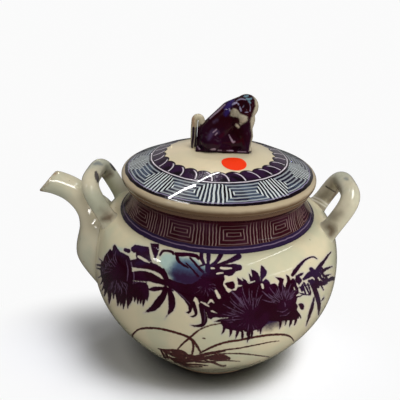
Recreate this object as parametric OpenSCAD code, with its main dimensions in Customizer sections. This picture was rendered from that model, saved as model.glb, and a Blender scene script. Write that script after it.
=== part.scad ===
// Porcelain teapot with a lift-off lid, lion finial, hollow spout and two arched lugs for a bail.
// Millimetres, +Z up, foot on z = 0, spout towards -X, axis of the pot on Z.

/* [Body] */
// Widest diameter of the pot
belly_d = 165.8; // [140:1:190]
// Height of the belly line, where the two thrown halves are luted
belly_z = 68.3; // [55:1:80]
// Height where the neck starts
shoulder_z = 107.5; // [98:0.5:118]
// Length over which the bowl's curve closes below the belly line
bowl_drop = 121.5; // [110:1:135]
// Wall thickness of bowl and shoulder
wall = 5; // [3:0.5:7]
// Outer diameter of the foot ring
foot_d = 86; // [70:1:96]
// Width of the foot ring
foot_w = 6; // [4:0.5:9]
// Depth of the recess inside the foot ring
foot_h = 4; // [2:0.5:6]
// Thickness of the slip under the spout, the lugs and the tail
slip = 0.2; // [0.1:0.05:0.4]

/* [Neck] */
// Clear bore of the neck
bore_d = 104; // [92:1:116]
// Wall of the neck at its waist
neck_wall = 5.5; // [4:0.5:8]
// How far the foot of the neck stands out from its waist
neck_flare = 6; // [3:0.5:9]
// Height of the rim on which the lid rests
rim_z = 128.5; // [122:0.5:136]
// How far the rim stands out from the waist
rim_flare = 2.8; // [2:0.2:5]
// Height of the rim's bead
rim_h = 3.2; // [2:0.2:5]

/* [Lid] */
// How far the lid stands out past the rim
lid_over = 2.3; // [1:0.1:4]
// Height of the lid's rounded edge
lid_edge_h = 6.5; // [4:0.5:9]
// Rise of the dome from the edge to the finial's seat
dome_h = 12.5; // [8:0.5:18]
// Radius of the flat seat under the finial
seat_r = 22; // [20:0.5:26]
// Depth of the locating flange
flange_h = 12; // [6:0.5:18]
// Wall of the locating flange
flange_w = 4; // [2.5:0.5:6]
// Radial play of the flange in the neck
flange_play = 0.8; // [0.4:0.1:1.6]
// Diameter of the steam vent
vent_d = 3; // [2:0.5:5]
// Diameter of the paper dot
dot_d = 15; // [10:1:20]
// Thickness of the paper dot
dot_t = 0.3; // [0.2:0.05:0.5]

/* [Spout] */
// Half width of the spout's base on the pot
spout_base_w = 30; // [22:1:34]
// Wall thickness of the spout
spout_wall = 3.5; // [2.5:0.25:4.5]
// Shift of the pouring lip outwards
spout_reach = 0; // [-6:1:8]
// Diameter of each strainer hole
strainer_d = 5; // [3:0.5:6]

/* [Lugs] */
// Thickness of the front lug's strand
front_strand_d = 11; // [8:0.2:12.4]
// Thickness of the rear lug's strand
rear_strand_d = 11.8; // [8:0.2:12.4]
// Half distance between the front lug's legs
front_spread = 21.6; // [20:0.2:26]
// Half distance between the rear lug's legs
rear_spread = 20; // [17:0.2:26]
// How far the front lug's crown stands out from the shoulder
front_lug_out = 11.6; // [9:0.2:15]
// How far the rear lug's crown stands out from the shoulder
rear_lug_out = 13.8; // [9:0.2:17]
// How far the front lug's crown rises above the shoulder
front_lug_rise = 19.7; // [16:0.1:24]
// How far the rear lug's crown rises above the shoulder
rear_lug_rise = 17.8; // [16:0.1:24]
// Length of the arch from its springing to the crown
lug_leg = 20; // [16:0.5:24]

/* [Finial] */
// Height of the lion
lion_h = 35.6; // [28:0.2:44]
// Thickness of the lion's tail
tail_d = 4; // [3:0.2:4.2]

/* [Hidden] */
$fn = 48;
belly_r = belly_d / 2;
foot_r = foot_d / 2;
bore_r = bore_d / 2;
waist_r = bore_r + neck_wall;
neck_r = waist_r + neck_flare;
rim_r = waist_r + rim_flare;
lid_r = rim_r + lid_over;
dot_r = dot_d / 2;
// Roundness of the shoulder and of the bowl
up_n = 2.2;
low_n = 1.824;
// The lid's painted edge, the ring outside the scallops and the seat of the finial
edge_z = rim_z + lid_edge_h;
edge_r = lid_r - 2.6;
ring_r = 0.757 * edge_r;
ring_z = edge_z + 0.5 * dome_h;
seat_z = edge_z + dome_h;
flange_r = bore_r - flange_play;
lid_skin = 7;
up_h = shoulder_z - belly_z;
lk = lion_h / 35.6;

// Outer radius of the pot at a height
function pot_r(z) = z >= belly_z
  ? neck_r + (belly_r - neck_r) * pow(max(0, 1 - pow(min(1, (z - belly_z) / up_h), up_n)), 1 / up_n)
  : belly_r * pow(1 - pow((belly_z - z) / bowl_drop, 2), low_n);

// Distance of a point outside the pot's skin, seen from the axis
function outside(p) = norm([p[0], p[1]]) - pot_r(p[2]);

// Point on a line where it meets the slip on the pot's skin, between lo (inside) and hi (outside)
function on_skin(p, d, lo, hi, n = 22) = n == 0 ? p + d * (hi + slip)
  : outside(p + d * (lo + hi) / 2) > 0 ? on_skin(p, d, lo, (lo + hi) / 2, n - 1)
  : on_skin(p, d, (lo + hi) / 2, hi, n - 1);

// Lower half of the pot with its turned foot ring
bowl_steps = 14;
base_z = foot_h + wall;
join_r = foot_r + 1.5;
join_s = sqrt(1 - pow(join_r / belly_r, 1 / low_n));
in_drop = bowl_drop - 1.8 * wall;
floor_s = (belly_z - base_z) / in_drop;
function bowl_out(t) = [belly_r * pow(1 - t * t, low_n), belly_z - bowl_drop * t];
function bowl_in(t) = [(belly_r - wall) * pow(1 - t * t, low_n), belly_z - in_drop * t];
module lower_bowl() {
  color([0.86, 0.83, 0.74])
  rotate_extrude($fn = 96)
  polygon(concat(
    [for (i = [0:bowl_steps]) bowl_out(join_s * i / bowl_steps)],
    [[foot_r, bowl_out(join_s)[1] - 1], [foot_r, 0.8], [foot_r - 0.8, 0], [foot_r - foot_w + 0.8, 0],
     [foot_r - foot_w, 0.8], [foot_r - foot_w - 0.6, foot_h], [0, foot_h], [0, base_z]],
    [for (i = [bowl_steps:-1:0]) bowl_in(floor_s * i / bowl_steps)]));
}

// Upper half of the pot, pierced with strainer holes behind the spout
up_steps = 14;
strain_z = belly_z + 0.37 * up_h;
strain_ring = 2 * strainer_d;
function up_out(a) = [neck_r + (belly_r - neck_r) * pow(cos(a), 2 / up_n),
  belly_z + up_h * pow(sin(a), 2 / up_n)];
function up_in(a) = [bore_r + (belly_r - wall - bore_r) * pow(cos(a), 2 / up_n),
  belly_z + (up_h - wall - 0.5) * pow(sin(a), 2 / up_n)];
module shoulder() {
  color([0.86, 0.83, 0.74])
  difference() {
    rotate_extrude($fn = 96)
    polygon(concat(
      [for (i = [0:up_steps]) up_out(90 * i / up_steps)],
      [[bore_r, shoulder_z]],
      [for (i = [up_steps:-1:0]) up_in(90 * i / up_steps)]));
    strainer_hole(0, 0);
    for (k = [0:5]) strainer_hole(strain_ring * cos(60 * k), strain_ring * sin(60 * k));
  }
}
module strainer_hole(across, up) {
  translate([-belly_r - wall, across, strain_z + up])
  rotate([0, 90, 0]) cylinder(d = strainer_d, h = belly_r - bore_r, $fn = 24);
}

// Waisted neck with the rim that carries the lid
waist_z = rim_z - rim_h - 3.4;
neck_steps = 7;
function neck_pt(t) = [waist_r + (neck_r - waist_r) * pow(1 - t, 2), shoulder_z + (waist_z - shoulder_z) * t];
module neck_collar() {
  color([0.55, 0.5, 0.52])
  rotate_extrude($fn = 96)
  polygon(concat(
    [[bore_r, shoulder_z]],
    [for (i = [0:neck_steps]) neck_pt(i / neck_steps)],
    [[waist_r + 0.4, waist_z + 1.8], [rim_r - 0.9, rim_z - rim_h], [rim_r, rim_z - rim_h + 0.9],
     [rim_r, rim_z - 0.8], [rim_r - 0.8, rim_z], [bore_r, rim_z]]));
}

// Hollow spout: rings from its seat on the pot to the slanted pouring lip.
// Each ring: outwards from the belly and up from the belly line at its under side, the same at its
// upper side, and its half width.
spout_rings = [
  [12.6, -2.3, -8.4, 37.8, 22],
  [10.3, 22.7, -5.9, 40.2, 15.5],
  [12.6, 32.3, -0.4, 44.8, 11.5],
  [19.1, 39.3, 11.6, 53.6, 9.3],
  [27.6, 43.1, 20.6, 57.6, 8.2],
  [36.3, 44.6, 24.4, 58.5, 7.6]];
ribs = 36;
spout_sub = 4;
spout_mid = 11.6;
spout_up = 22;
spout_down = 43;
// The rings are drawn for a belly of 165.8 and a shoulder 39.2 high, and follow both
xk = belly_d / 165.8;
zk = up_h / 39.2;
seat_band = 1.71 * spout_wall;
// Ring on the slip over the pot's skin, drawn in by a band
function seat_pt(a, band) = let (
    y = (spout_base_w - band) * cos(a),
    z = belly_z + zk * (spout_mid + (sin(a) > 0 ? spout_up - band : spout_down - band) * sin(a)))
  [-sqrt(pow(pot_r(z) + slip, 2) - y * y), y, z];
// Free ring, drawn in by the wall
function free_pt(i, a, w) = let (
    r = spout_rings[i],
    far = i / 5 * spout_reach,
    lo = [-belly_r - xk * r[0] - far, belly_z + zk * r[1]],
    hi = [-belly_r - xk * r[2] - far, belly_z + zk * r[3]],
    mid = (lo + hi) / 2,
    half = (hi - lo) / 2,
    k = 1 - w / norm(half))
  [mid[0] + half[0] * k * sin(a), (xk * r[4] - w) * cos(a), mid[1] + half[1] * k * sin(a)];
function knot(i, a, w) = i <= 0 ? seat_pt(a, w > 0 ? seat_band : 0) : free_pt(min(i, 6) - 1, a, i >= 5 ? w * 0.8 : w);
// Smooth rib through the rings
function rib(i, t, a, w) = let (
    p1 = knot(i, a, w), p2 = knot(i + 1, a, w),
    p0 = i == 0 ? 2 * p1 - p2 : knot(i - 1, a, w),
    p3 = i == 5 ? 2 * p2 - p1 : knot(i + 2, a, w))
  0.5 * (2 * p1 + (p2 - p0) * t + (2 * p0 - 5 * p1 + 4 * p2 - p3) * t * t
    + (3 * p1 - p0 - 3 * p2 + p3) * t * t * t);
spout_n = 6 * spout_sub;
function skin(w) = [for (j = [0:spout_n]) for (k = [0:ribs - 1])
  let (i = min(5, floor(j / spout_sub))) rib(i, j / spout_sub - i, 360 * k / ribs, w)];
module spout() {
  outer = skin(0);
  inner = skin(spout_wall);
  seat = [for (k = [0:ribs - 1]) seat_pt(360 * k / ribs, seat_band / 2)];
  m = len(outer);
  faces = concat(
    [for (j = [0:spout_n - 1]) for (k = [0:ribs - 1]) let (l = (k + 1) % ribs, q = j * ribs)
      each [[q + k, q + l, q + ribs + l], [q + k, q + ribs + l, q + ribs + k]]],
    [for (j = [0:spout_n - 1]) for (k = [0:ribs - 1]) let (l = (k + 1) % ribs, q = m + j * ribs)
      each [[q + l, q + k, q + ribs + l], [q + ribs + l, q + k, q + ribs + k]]],
    [for (k = [0:ribs - 1]) let (l = (k + 1) % ribs, c = 2 * m)
      each [[l, k, c + l], [c + l, k, c + k], [c + l, c + k, m + l], [m + l, c + k, m + k]]],
    [for (k = [0:ribs - 1]) let (l = (k + 1) % ribs, q = spout_n * ribs)
      each [[q + k, q + l, q + m + l], [q + k, q + m + l, q + m + k]]]);
  color([0.84, 0.82, 0.75]) polyhedron(points = concat(outer, inner, seat), faces = faces, convexity = 8);
}

// Arched lug: a round strand bent into an arch across the pot's side, leaning outwards
arch_n = 3.8;
arch_steps = 28;
strand_sides = 16;
lug_seat_r = pot_r(shoulder_z - 0.045 * up_h);
front_crown = [lug_seat_r + front_lug_out, shoulder_z + front_lug_rise];
rear_crown = [lug_seat_r + rear_lug_out, shoulder_z + rear_lug_rise];
function pw(v, e) = sign(v) * pow(abs(v), e);
function arch_pt(t, c, f, spread) = let (s = pow(max(0, sin(t)), 2 / arch_n))
  [f[0] + (c[0] - f[0]) * s, -spread * pw(cos(t), 2 / arch_n), f[1] + (c[1] - f[1]) * s];
module lug(crown, spread, d) {
  lean = [0.55, 1] / norm([0.55, 1]);
  foot = crown - lean * lug_leg;
  side = [-lean[1], 0, lean[0]];
  down = [-lean[0], 0, -lean[1]];
  r = d / 2;
  mids = [for (i = [1:arch_steps - 1]) arch_pt(180 * i / arch_steps, crown, foot, spread)];
  n = len(mids);
  function ring(i, r) = let (
      tan0 = mids[min(n - 1, i + 1)] - mids[max(0, i - 1)],
      tan1 = tan0 / norm(tan0),
      across = cross(tan1, side))
    [for (k = [0:strand_sides - 1]) let (a = 360 * k / strand_sides)
      mids[i] + r * (cos(a) * side + sin(a) * across)];
  function seated(q) = [for (p = q) on_skin(p, -down, -25, 0)];
  all = concat(
    [seated(ring(0, r / 2)), seated(ring(0, r))],
    [for (i = [0:n - 1]) ring(i, r)],
    [seated(ring(n - 1, r)), seated(ring(n - 1, r / 2))]);
  pts = concat([for (q = all) each q], seated([mids[0], mids[n - 1]]));
  m = len(all);
  s = strand_sides;
  faces = concat(
    [for (j = [0:m - 2]) for (k = [0:s - 1]) let (l = (k + 1) % s, q = j * s)
      each [[q + k, q + l, q + s + l], [q + k, q + s + l, q + s + k]]],
    [for (k = [0:s - 1]) [(k + 1) % s, k, m * s]],
    [for (k = [0:s - 1]) [(m - 1) * s + k, (m - 1) * s + (k + 1) % s, m * s + 1]]);
  polyhedron(points = pts, faces = faces, convexity = 6);
}
module front_lug() {
  color([0.82, 0.8, 0.74]) mirror([1, 0, 0]) lug(front_crown, front_spread, front_strand_d);
}
module rear_lug() {
  color([0.82, 0.8, 0.74]) lug(rear_crown, rear_spread, rear_strand_d);
}

// Domed lid with a rounded edge and a flat seat for the finial
dome_steps = 6;
function dome_pt(t) = [seat_r + (ring_r - seat_r) * t, seat_z - (seat_z - ring_z) * pow(t, 1.25)];
dome_line = concat([[0, seat_z]], [for (i = [0:dome_steps]) dome_pt(i / dome_steps)], [[edge_r, edge_z]]);
under_r = bore_r - flange_play - flange_w - 0.8;
module lid_plate() {
  color([0.84, 0.8, 0.72])
  difference() {
    rotate_extrude($fn = 96)
    polygon(concat(dome_line, [
      [lid_r - 0.9, edge_z - 0.9], [lid_r, rim_z + 0.52 * lid_edge_h], [lid_r - 0.6, rim_z + 1.2],
      [lid_r - 1.8, rim_z], [under_r, rim_z], [under_r - 3, ring_z - lid_skin],
      [seat_r, seat_z - lid_skin - 1], [0, seat_z - lid_skin]]));
    translate([0, seat_r + 6, rim_z]) cylinder(d = vent_d, h = 40, $fn = 24);
  }
}

// Ring under the lid that drops into the neck
module lid_flange() {
  color([0.84, 0.8, 0.72])
  rotate_extrude($fn = 96)
  polygon([[flange_r - flange_w, rim_z], [flange_r, rim_z], [flange_r, rim_z - flange_h + 1.5],
    [flange_r - 1, rim_z - flange_h], [flange_r - flange_w + 1, rim_z - flange_h],
    [flange_r - flange_w, rim_z - flange_h + 1.5]]);
}

// Round paper dot on the lid, following the dome
module paper_dot() {
  up = [0, dot_t];
  color([1, 0.28, 0.05])
  intersection() {
    translate([0.15 * edge_r, -0.4 * edge_r, rim_z]) cylinder(r = dot_r, h = 60, $fn = 48);
    rotate_extrude($fn = 96)
    polygon(concat(dome_line, [for (i = [len(dome_line) - 1:-1:0]) dome_line[i] + up]));
  }
}

// Rounded lump between two balls
module lump(p, q, a, b) {
  hull() {
    translate(p) sphere(r = a, $fn = 20);
    translate(q) sphere(r = b, $fn = 20);
  }
}
// Half space above the lion's neck joint
module above_neck() {
  translate([6, 0, 20.5]) rotate([0, 20, 0]) translate([-40, -40, 0]) cube([80, 80, 60]);
}
module on_lid() {
  translate([0, 0, seat_z]) scale(lk) children();
}

// Seated lion: haunches, sloping back, chest and forelegs on a thin slab, grown by g for cutting
module lion_back(g = 0) {
  lump([-4.5, 0, 10], [6.5, 0, 23.2], 9.4 + g, 8 + g);
  lump([6.5, 0, 23.2], [13, 0, 27.4], 8 + g, 6.9 + g);
  lump([12.6, 0, 9], [12.2, 0, 17], 8.2 + g, 7.4 + g);
}
module lion_lumps(g = 0) {
  translate([1.75, 0, 1]) cube([33.5 + 2 * g, 17 + 2 * g, 2 + 2 * g], center = true);
  lion_back(g);
  lump([-4, 0, 7], [12, 0, 8], 8.2 + g, 8 + g);
  lump([-9, 0, 3.5], [-9, 0, 12], 5.2 + g, 5.2 + g);
  for (s = [-1, 1]) {
    lump([-6, 5 * s, 7], [-3, 5.5 * s, 6], 6.6 + g, 5 + g);
    lump([1, 7 * s, 2.6], [5, 7.4 * s, 2.4], 2.6 + g, 2.4 + g);
    lump([14.5, 4.6 * s, 12], [16, 4.8 * s, 2.8], 4.4 + g, 3.6 + g);
    lump([16.2, 4.8 * s, 2.4], [18, 4.8 * s, 2.3], 2.7 + g, 2.5 + g);
  }
}
module lion_body() {
  color([0.13, 0.09, 0.2])
  on_lid()
  difference() {
    intersection() {
      lion_lumps();
      translate([-40, -40, 0]) cube([80, 80, 60]);
    }
    above_neck();
  }
}

// Head with mane, brow, ears, muzzle and beard, turned to the side
module lion_head() {
  color([0.16, 0.12, 0.28])
  on_lid()
  intersection() {
    union() {
      lion_back();
      lump([11, 0, 22.6], [15.2, -0.6, 28], 8.4, 7.6);
      lump([14.5, -1, 20], [13.6, -1, 15], 6.8, 6.4);
      lump([14, -6, 24.5], [13.4, -8, 23.2], 4.8, 3.8);
      lump([11.4, -4.6, 32.4], [18, -4, 32.8], 1.9, 1.9);
      lump([8.5, -5.2, 30], [6.8, -6.2, 27.4], 2.6, 1.8);
      lump([18.4, 3.6, 31.4], [20, 3.4, 28.6], 2.4, 1.8);
      for (k = [0:4]) translate([8 + 0.3 * k, -6.9 + 0.1 * k, 27.6 - 2.2 * k]) sphere(r = 2.1, $fn = 16);
    }
    above_neck();
  }
}

// Curled tail: a round strand rising behind the haunches, turning over and running into the back
tail_steps = 30;
tail_sides = 12;
tail_r = tail_d / 2 / lk;
tail_bend = max(2.15, tail_r + 0.15);
tail_x = -16.3;
tail_top = 18;
function tail_pt(t) = t < 0.4
  ? let (u = t / 0.4) [tail_x - 0.4 * sin(180 * u), 0, tail_top * u]
  : t < 0.8
  ? let (a = 180 - 450 * (t - 0.4)) [tail_x + tail_bend * (1 + cos(a)), 0, tail_top + tail_bend * sin(a)]
  : let (u = (t - 0.8) / 0.2) [tail_x + 2 * tail_bend + 1.8 * u, 0, tail_top - 3.8 * u];
module lion_tail() {
  mids = [for (i = [0:tail_steps]) tail_pt(i / tail_steps)];
  color([0.8, 0.77, 0.7])
  on_lid()
  difference() {
    strand(mids, tail_r, tail_sides);
    lion_lumps(slip / lk);
  }
}
module strand(mids, r, s) {
  n = len(mids);
  pts = concat([for (i = [0:n - 1]) let (
      d0 = mids[min(n - 1, i + 1)] - mids[max(0, i - 1)],
      d1 = i == 0 ? [0, 0, 1] : d0 / norm(d0),
      across = cross(d1, [0, 1, 0]))
    each [for (k = [0:s - 1]) let (a = 360 * k / s) mids[i] + r * (cos(a) * [0, 1, 0] + sin(a) * across)]],
    [mids[0], mids[n - 1]]);
  faces = concat(
    [for (j = [0:n - 2]) for (k = [0:s - 1]) let (l = (k + 1) % s, q = j * s)
      each [[q + k, q + l, q + s + l], [q + k, q + s + l, q + s + k]]],
    [for (k = [0:s - 1]) [(k + 1) % s, k, n * s]],
    [for (k = [0:s - 1]) [(n - 1) * s + k, (n - 1) * s + (k + 1) % s, n * s + 1]]);
  polyhedron(points = pts, faces = faces, convexity = 6);
}

lower_bowl();
shoulder();
neck_collar();
spout();
front_lug();
rear_lug();
lid_plate();
lid_flange();
paper_dot();
lion_body();
lion_head();
lion_tail();
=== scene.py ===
# Porcelain teapot with a lift-off lid, a lion finial, a hollow spout and two arched lugs.
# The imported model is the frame: metres, +Z up, foot on z = 0, spout towards -X. Sizes below are in mm.
import math

import bmesh
import bpy
import numpy as np
from mathutils import Matrix, Vector


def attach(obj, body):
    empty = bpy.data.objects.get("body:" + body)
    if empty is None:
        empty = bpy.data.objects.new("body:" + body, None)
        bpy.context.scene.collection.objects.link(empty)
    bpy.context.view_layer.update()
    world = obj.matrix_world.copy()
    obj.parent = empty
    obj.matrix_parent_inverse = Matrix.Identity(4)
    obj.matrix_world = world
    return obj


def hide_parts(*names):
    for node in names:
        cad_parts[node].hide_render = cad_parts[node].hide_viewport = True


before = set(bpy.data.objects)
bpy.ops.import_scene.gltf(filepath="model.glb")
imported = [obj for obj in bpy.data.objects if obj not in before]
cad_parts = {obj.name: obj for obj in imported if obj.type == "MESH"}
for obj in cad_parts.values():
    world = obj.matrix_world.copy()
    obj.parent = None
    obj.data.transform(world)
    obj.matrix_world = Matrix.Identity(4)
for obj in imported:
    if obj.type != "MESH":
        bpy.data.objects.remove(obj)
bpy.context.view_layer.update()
scene = bpy.context.scene
scene.view_settings.view_transform = "Standard"
MM = 0.001


# Camera
# It stands in front of the pot and looks down on it, as the photograph was taken.
# The same sight lines place the brushwork on the glaze, so each stroke lies where the photograph shows it.
frame_px = 400
focal_px = 500
camera_at = np.array([0.0, -304.6, 249.7])
camera_pitch = 0.427417
camera_yaw = -0.037783
camera_roll = 0.029624

ahead = np.array([
    math.sin(camera_yaw) * math.cos(camera_pitch),
    math.cos(camera_yaw) * math.cos(camera_pitch),
    -math.sin(camera_pitch)])
level = np.array([math.cos(camera_yaw), -math.sin(camera_yaw), 0.0])
upright = np.cross(level, ahead)
view_right = level * math.cos(camera_roll) + upright * math.sin(camera_roll)
view_up = upright * math.cos(camera_roll) - level * math.sin(camera_roll)

camera_data = bpy.data.cameras.new("camera")
camera_data.sensor_width = 36
camera_data.lens = 36 * focal_px / frame_px
camera_data.clip_start = 0.01
camera = bpy.data.objects.new("camera", camera_data)
camera.matrix_world = Matrix([
    [view_right[i], view_up[i], -ahead[i], camera_at[i] * MM] for i in range(3)] + [[0, 0, 0, 1]])
scene.collection.objects.link(camera)
scene.camera = camera


def photo_place(points, normals):
    """Where points on the object lie in the photograph, in pixels, and how squarely they face the camera."""
    to_point = points - camera_at
    depth = to_point @ ahead
    across = frame_px / 2 + focal_px * (to_point @ view_right) / depth
    down = frame_px / 2 - focal_px * (to_point @ view_up) / depth
    facing = -(to_point * normals).sum(1) / np.linalg.norm(to_point, axis=1)
    return np.stack([across, down], 1), facing


# Body
# Two thrown halves, the bowl with its turned foot and the shoulder, luted at the belly line.
# White stoneware-like porcelain, painted with a brush in cobalt and iron, then dipped in a clear glaze.
belly_r = 82.9
belly_z = 68.3
shoulder_z = 107.5
neck_r = 63.5
bore_r = 52.0
wall = 5.0
bowl_drop = 121.5
bowl_power = 1.824
shoulder_power = 2.2
shoulder_h = shoulder_z - belly_z
foot_r = 43.0
foot_w = 6.0
foot_h = 4.0
body_columns = 960


def skin_r(z):
    """Outer radius of the body at a height."""
    low = np.clip((belly_z - z) / bowl_drop, 0, 1)
    high = np.clip((z - belly_z) / shoulder_h, 0, 1)
    bowl = belly_r * (1 - low ** 2) ** bowl_power
    above = neck_r + (belly_r - neck_r) * (1 - high ** shoulder_power) ** (1 / shoulder_power)
    return np.where(z < belly_z, bowl, above)


def full_turn(count):
    """Even steps round a circle, in radians."""
    return np.linspace(0, 2 * math.pi, count, endpoint=False)


def turned(name, profile, columns, closed=False):
    """A wheel-turned piece: a profile of (radius, height), run down its outside, turned about the axis."""
    points, rows = [], []
    for radius, height in np.array(profile, float):
        count = 1 if radius < 1e-6 else columns
        rows.append(np.arange(columns) * (count > 1) + len(points))
        turn = full_turn(columns)[:count]
        points += list(zip(radius * np.sin(turn), -radius * np.cos(turn), [height] * count))
    faces = []
    pairs = list(zip(rows, rows[1:])) + ([(rows[-1], rows[0])] if closed else [])
    for upper, lower in pairs:
        quads = np.stack([upper, lower, np.roll(lower, -1), np.roll(upper, -1)], 1)
        if upper[0] == upper[1] and lower[0] == lower[1]:
            continue
        if upper[0] == upper[1]:
            quads = quads[:, :3]
        elif lower[0] == lower[1]:
            quads = quads[:, [0, 1, 3]]
        faces += quads.tolist()
    mesh = bpy.data.meshes.new(name)
    mesh.from_pydata((np.array(points) * MM).tolist(), [], faces)
    return shown(name, mesh)


def smoothed(mesh, sharp=40):
    """Shades a mesh smooth, except at edges sharper than an angle in degrees."""
    mesh.polygons.foreach_set("use_smooth", [True] * len(mesh.polygons))
    mesh.set_sharp_from_angle(angle=math.radians(sharp))


def shown(name, mesh, sharp=40):
    """An object for a mesh, shaded smooth except at real edges."""
    smoothed(mesh, sharp)
    piece = bpy.data.objects.new(name, mesh)
    scene.collection.objects.link(piece)
    return piece


def settled(piece, *steps):
    """Applies modifiers, given as (kind, settings), so that none is left on the piece."""
    for kind, settings in steps:
        modifier = piece.modifiers.new(kind, kind)
        for key, value in settings.items():
            setattr(modifier, key, value)
    bpy.context.view_layer.update()
    made = piece.evaluated_get(bpy.context.evaluated_depsgraph_get())
    mesh = bpy.data.meshes.new_from_object(made)
    piece.modifiers.clear()
    piece.data = mesh


def pierced(piece, holes):
    """Cuts round holes, given as (centre, direction, diameter, length), through a piece."""
    drills = bmesh.new()
    for centre, direction, diameter, length in holes:
        way = Vector(direction).to_track_quat("Z", "Y").to_matrix().to_4x4()
        place = Matrix.Translation(Vector(centre) * MM) @ way
        bmesh.ops.create_cone(drills, cap_ends=True, segments=32, radius1=diameter / 2 * MM,
            radius2=diameter / 2 * MM, depth=length * MM, matrix=place)
    mesh = bpy.data.meshes.new("drill")
    drills.to_mesh(mesh)
    drills.free()
    drill = bpy.data.objects.new("drill", mesh)
    scene.collection.objects.link(drill)
    settled(piece, ("BOOLEAN", {"object": drill, "operation": "DIFFERENCE", "solver": "MANIFOLD"}))
    bpy.data.objects.remove(drill)
    piece.data.materials.clear()
    piece.data.polygons.foreach_set("material_index", [0] * len(piece.data.polygons))
    smoothed(piece.data)


def places(piece):
    """Points and normals of a piece's mesh, in mm."""
    count = len(piece.data.vertices)
    points = np.empty(count * 3)
    normals = np.empty(count * 3)
    piece.data.vertices.foreach_get("co", points)
    piece.data.vertices.foreach_get("normal", normals)
    return points.reshape(-1, 3) / MM, normals.reshape(-1, 3)


def keep(piece, name, values):
    """Stores one number per point on the piece for its material to read."""
    layer = piece.data.attributes.new(name, "FLOAT", "POINT")
    layer.data.foreach_set("value", np.asarray(values, np.float32))


# Bowl
foot_fillet = 1.5
join_t = math.sqrt(1 - ((foot_r + foot_fillet) / belly_r) ** (1 / bowl_power))
base_z = foot_h + wall
inner_drop = bowl_drop - 1.8 * wall
floor_t = (belly_z - base_z) / inner_drop
bowl_profile = [(belly_r * (1 - t * t) ** bowl_power, belly_z - bowl_drop * t)
    for t in np.linspace(0, join_t, 150)]
fillet_z = bowl_profile[-1][1]
bowl_profile += [
    (foot_r + 0.5, fillet_z - 0.5), (foot_r, fillet_z - 1.2), (foot_r, 0.8), (foot_r - 0.3, 0.25),
    (foot_r - 0.8, 0), (foot_r - foot_w + 0.8, 0), (foot_r - foot_w, 0.8), (foot_r - foot_w - 0.6, foot_h),
    (0, foot_h), (0, base_z)]
bowl_profile += [((belly_r - wall) * (1 - t * t) ** bowl_power, belly_z - inner_drop * t)
    for t in np.linspace(floor_t, 0, 16)]
lower_bowl = turned("bowl_with_foot", bowl_profile, body_columns, closed=True)

# Shoulder, pierced behind the spout as a strainer
strainer_d = 5.0
strainer_z = belly_z + 0.37 * shoulder_h
quarter = np.linspace(math.pi / 2, 0, 91)


def shoulder_arc(turns, inner_r, outer_r, rise_h):
    """Points of a shoulder's profile between two radii, up from the belly line."""
    return [(inner_r + (outer_r - inner_r) * math.cos(a) ** (2 / shoulder_power),
        belly_z + rise_h * math.sin(a) ** (2 / shoulder_power)) for a in turns]


shoulder_profile = shoulder_arc(quarter, neck_r, belly_r, shoulder_h)
shoulder_profile += shoulder_arc(quarter[::-5], bore_r, belly_r - wall, shoulder_h - wall - 0.5)
shoulder_profile += [(bore_r, shoulder_z)]
shoulder = turned("shoulder_half", shoulder_profile, body_columns, closed=True)
strainer_spots = [(0, 0)]
strainer_spots += [(2 * strainer_d * math.cos(a), 2 * strainer_d * math.sin(a)) for a in full_turn(6)]
pierced(shoulder, [((-belly_r + 4, y, strainer_z + z), (1, 0, 0), strainer_d, 30) for y, z in strainer_spots])

# Brushwork in photograph pixels: strokes have points (across, down, brush width),
# filled outlines have points (across, down)
bloom_left = [
    (114.8, 244), (117.5, 248), (120, 251.5), (124, 253.5), (129, 256), (131, 262), (132, 270), (133, 281),
    (147, 282.5), (149, 290), (148, 296), (136, 297), (124, 298), (114, 294), (107.5, 290), (103.5, 284),
    (101, 276), (100, 270), (101, 262), (103, 261), (104.5, 256), (107, 252.5), (110, 249), (112, 250.5),
    (113, 246)]
bloom_middle = [
    (217, 304), (225, 296), (229, 293), (232, 290.5), (236, 290.5), (238, 286), (237.5, 281), (237, 277),
    (240, 279), (243, 281), (242, 277.5), (246, 280), (248, 283), (250, 281), (248.5, 273), (250, 274),
    (252, 277), (251, 269), (255, 270.5), (258, 273), (260, 277), (260.5, 281), (260, 272), (261, 265),
    (264, 267), (267, 271), (266.5, 275), (263, 279), (262, 282), (266, 278.5), (269, 281), (271, 285),
    (275, 290), (276, 305), (272, 317), (268, 322), (263, 327.5), (252, 331.5), (242, 332), (232, 330.5),
    (225, 328.5), (221.5, 325), (220, 318), (218, 312), (217, 307)]
bloom_right = [
    (268, 286), (271, 284), (275, 283), (278, 286), (279, 281), (275, 277), (281, 277.5), (284, 279),
    (283, 284), (285, 287), (287, 281), (286, 274.5), (289, 276), (290.5, 280), (292, 279), (295, 283),
    (297, 290), (297, 297), (297, 300), (296, 303), (298, 306), (297, 310), (300, 314.5), (299, 318.5),
    (294, 320), (286, 320.5), (280, 321.5), (268, 321)]
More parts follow.
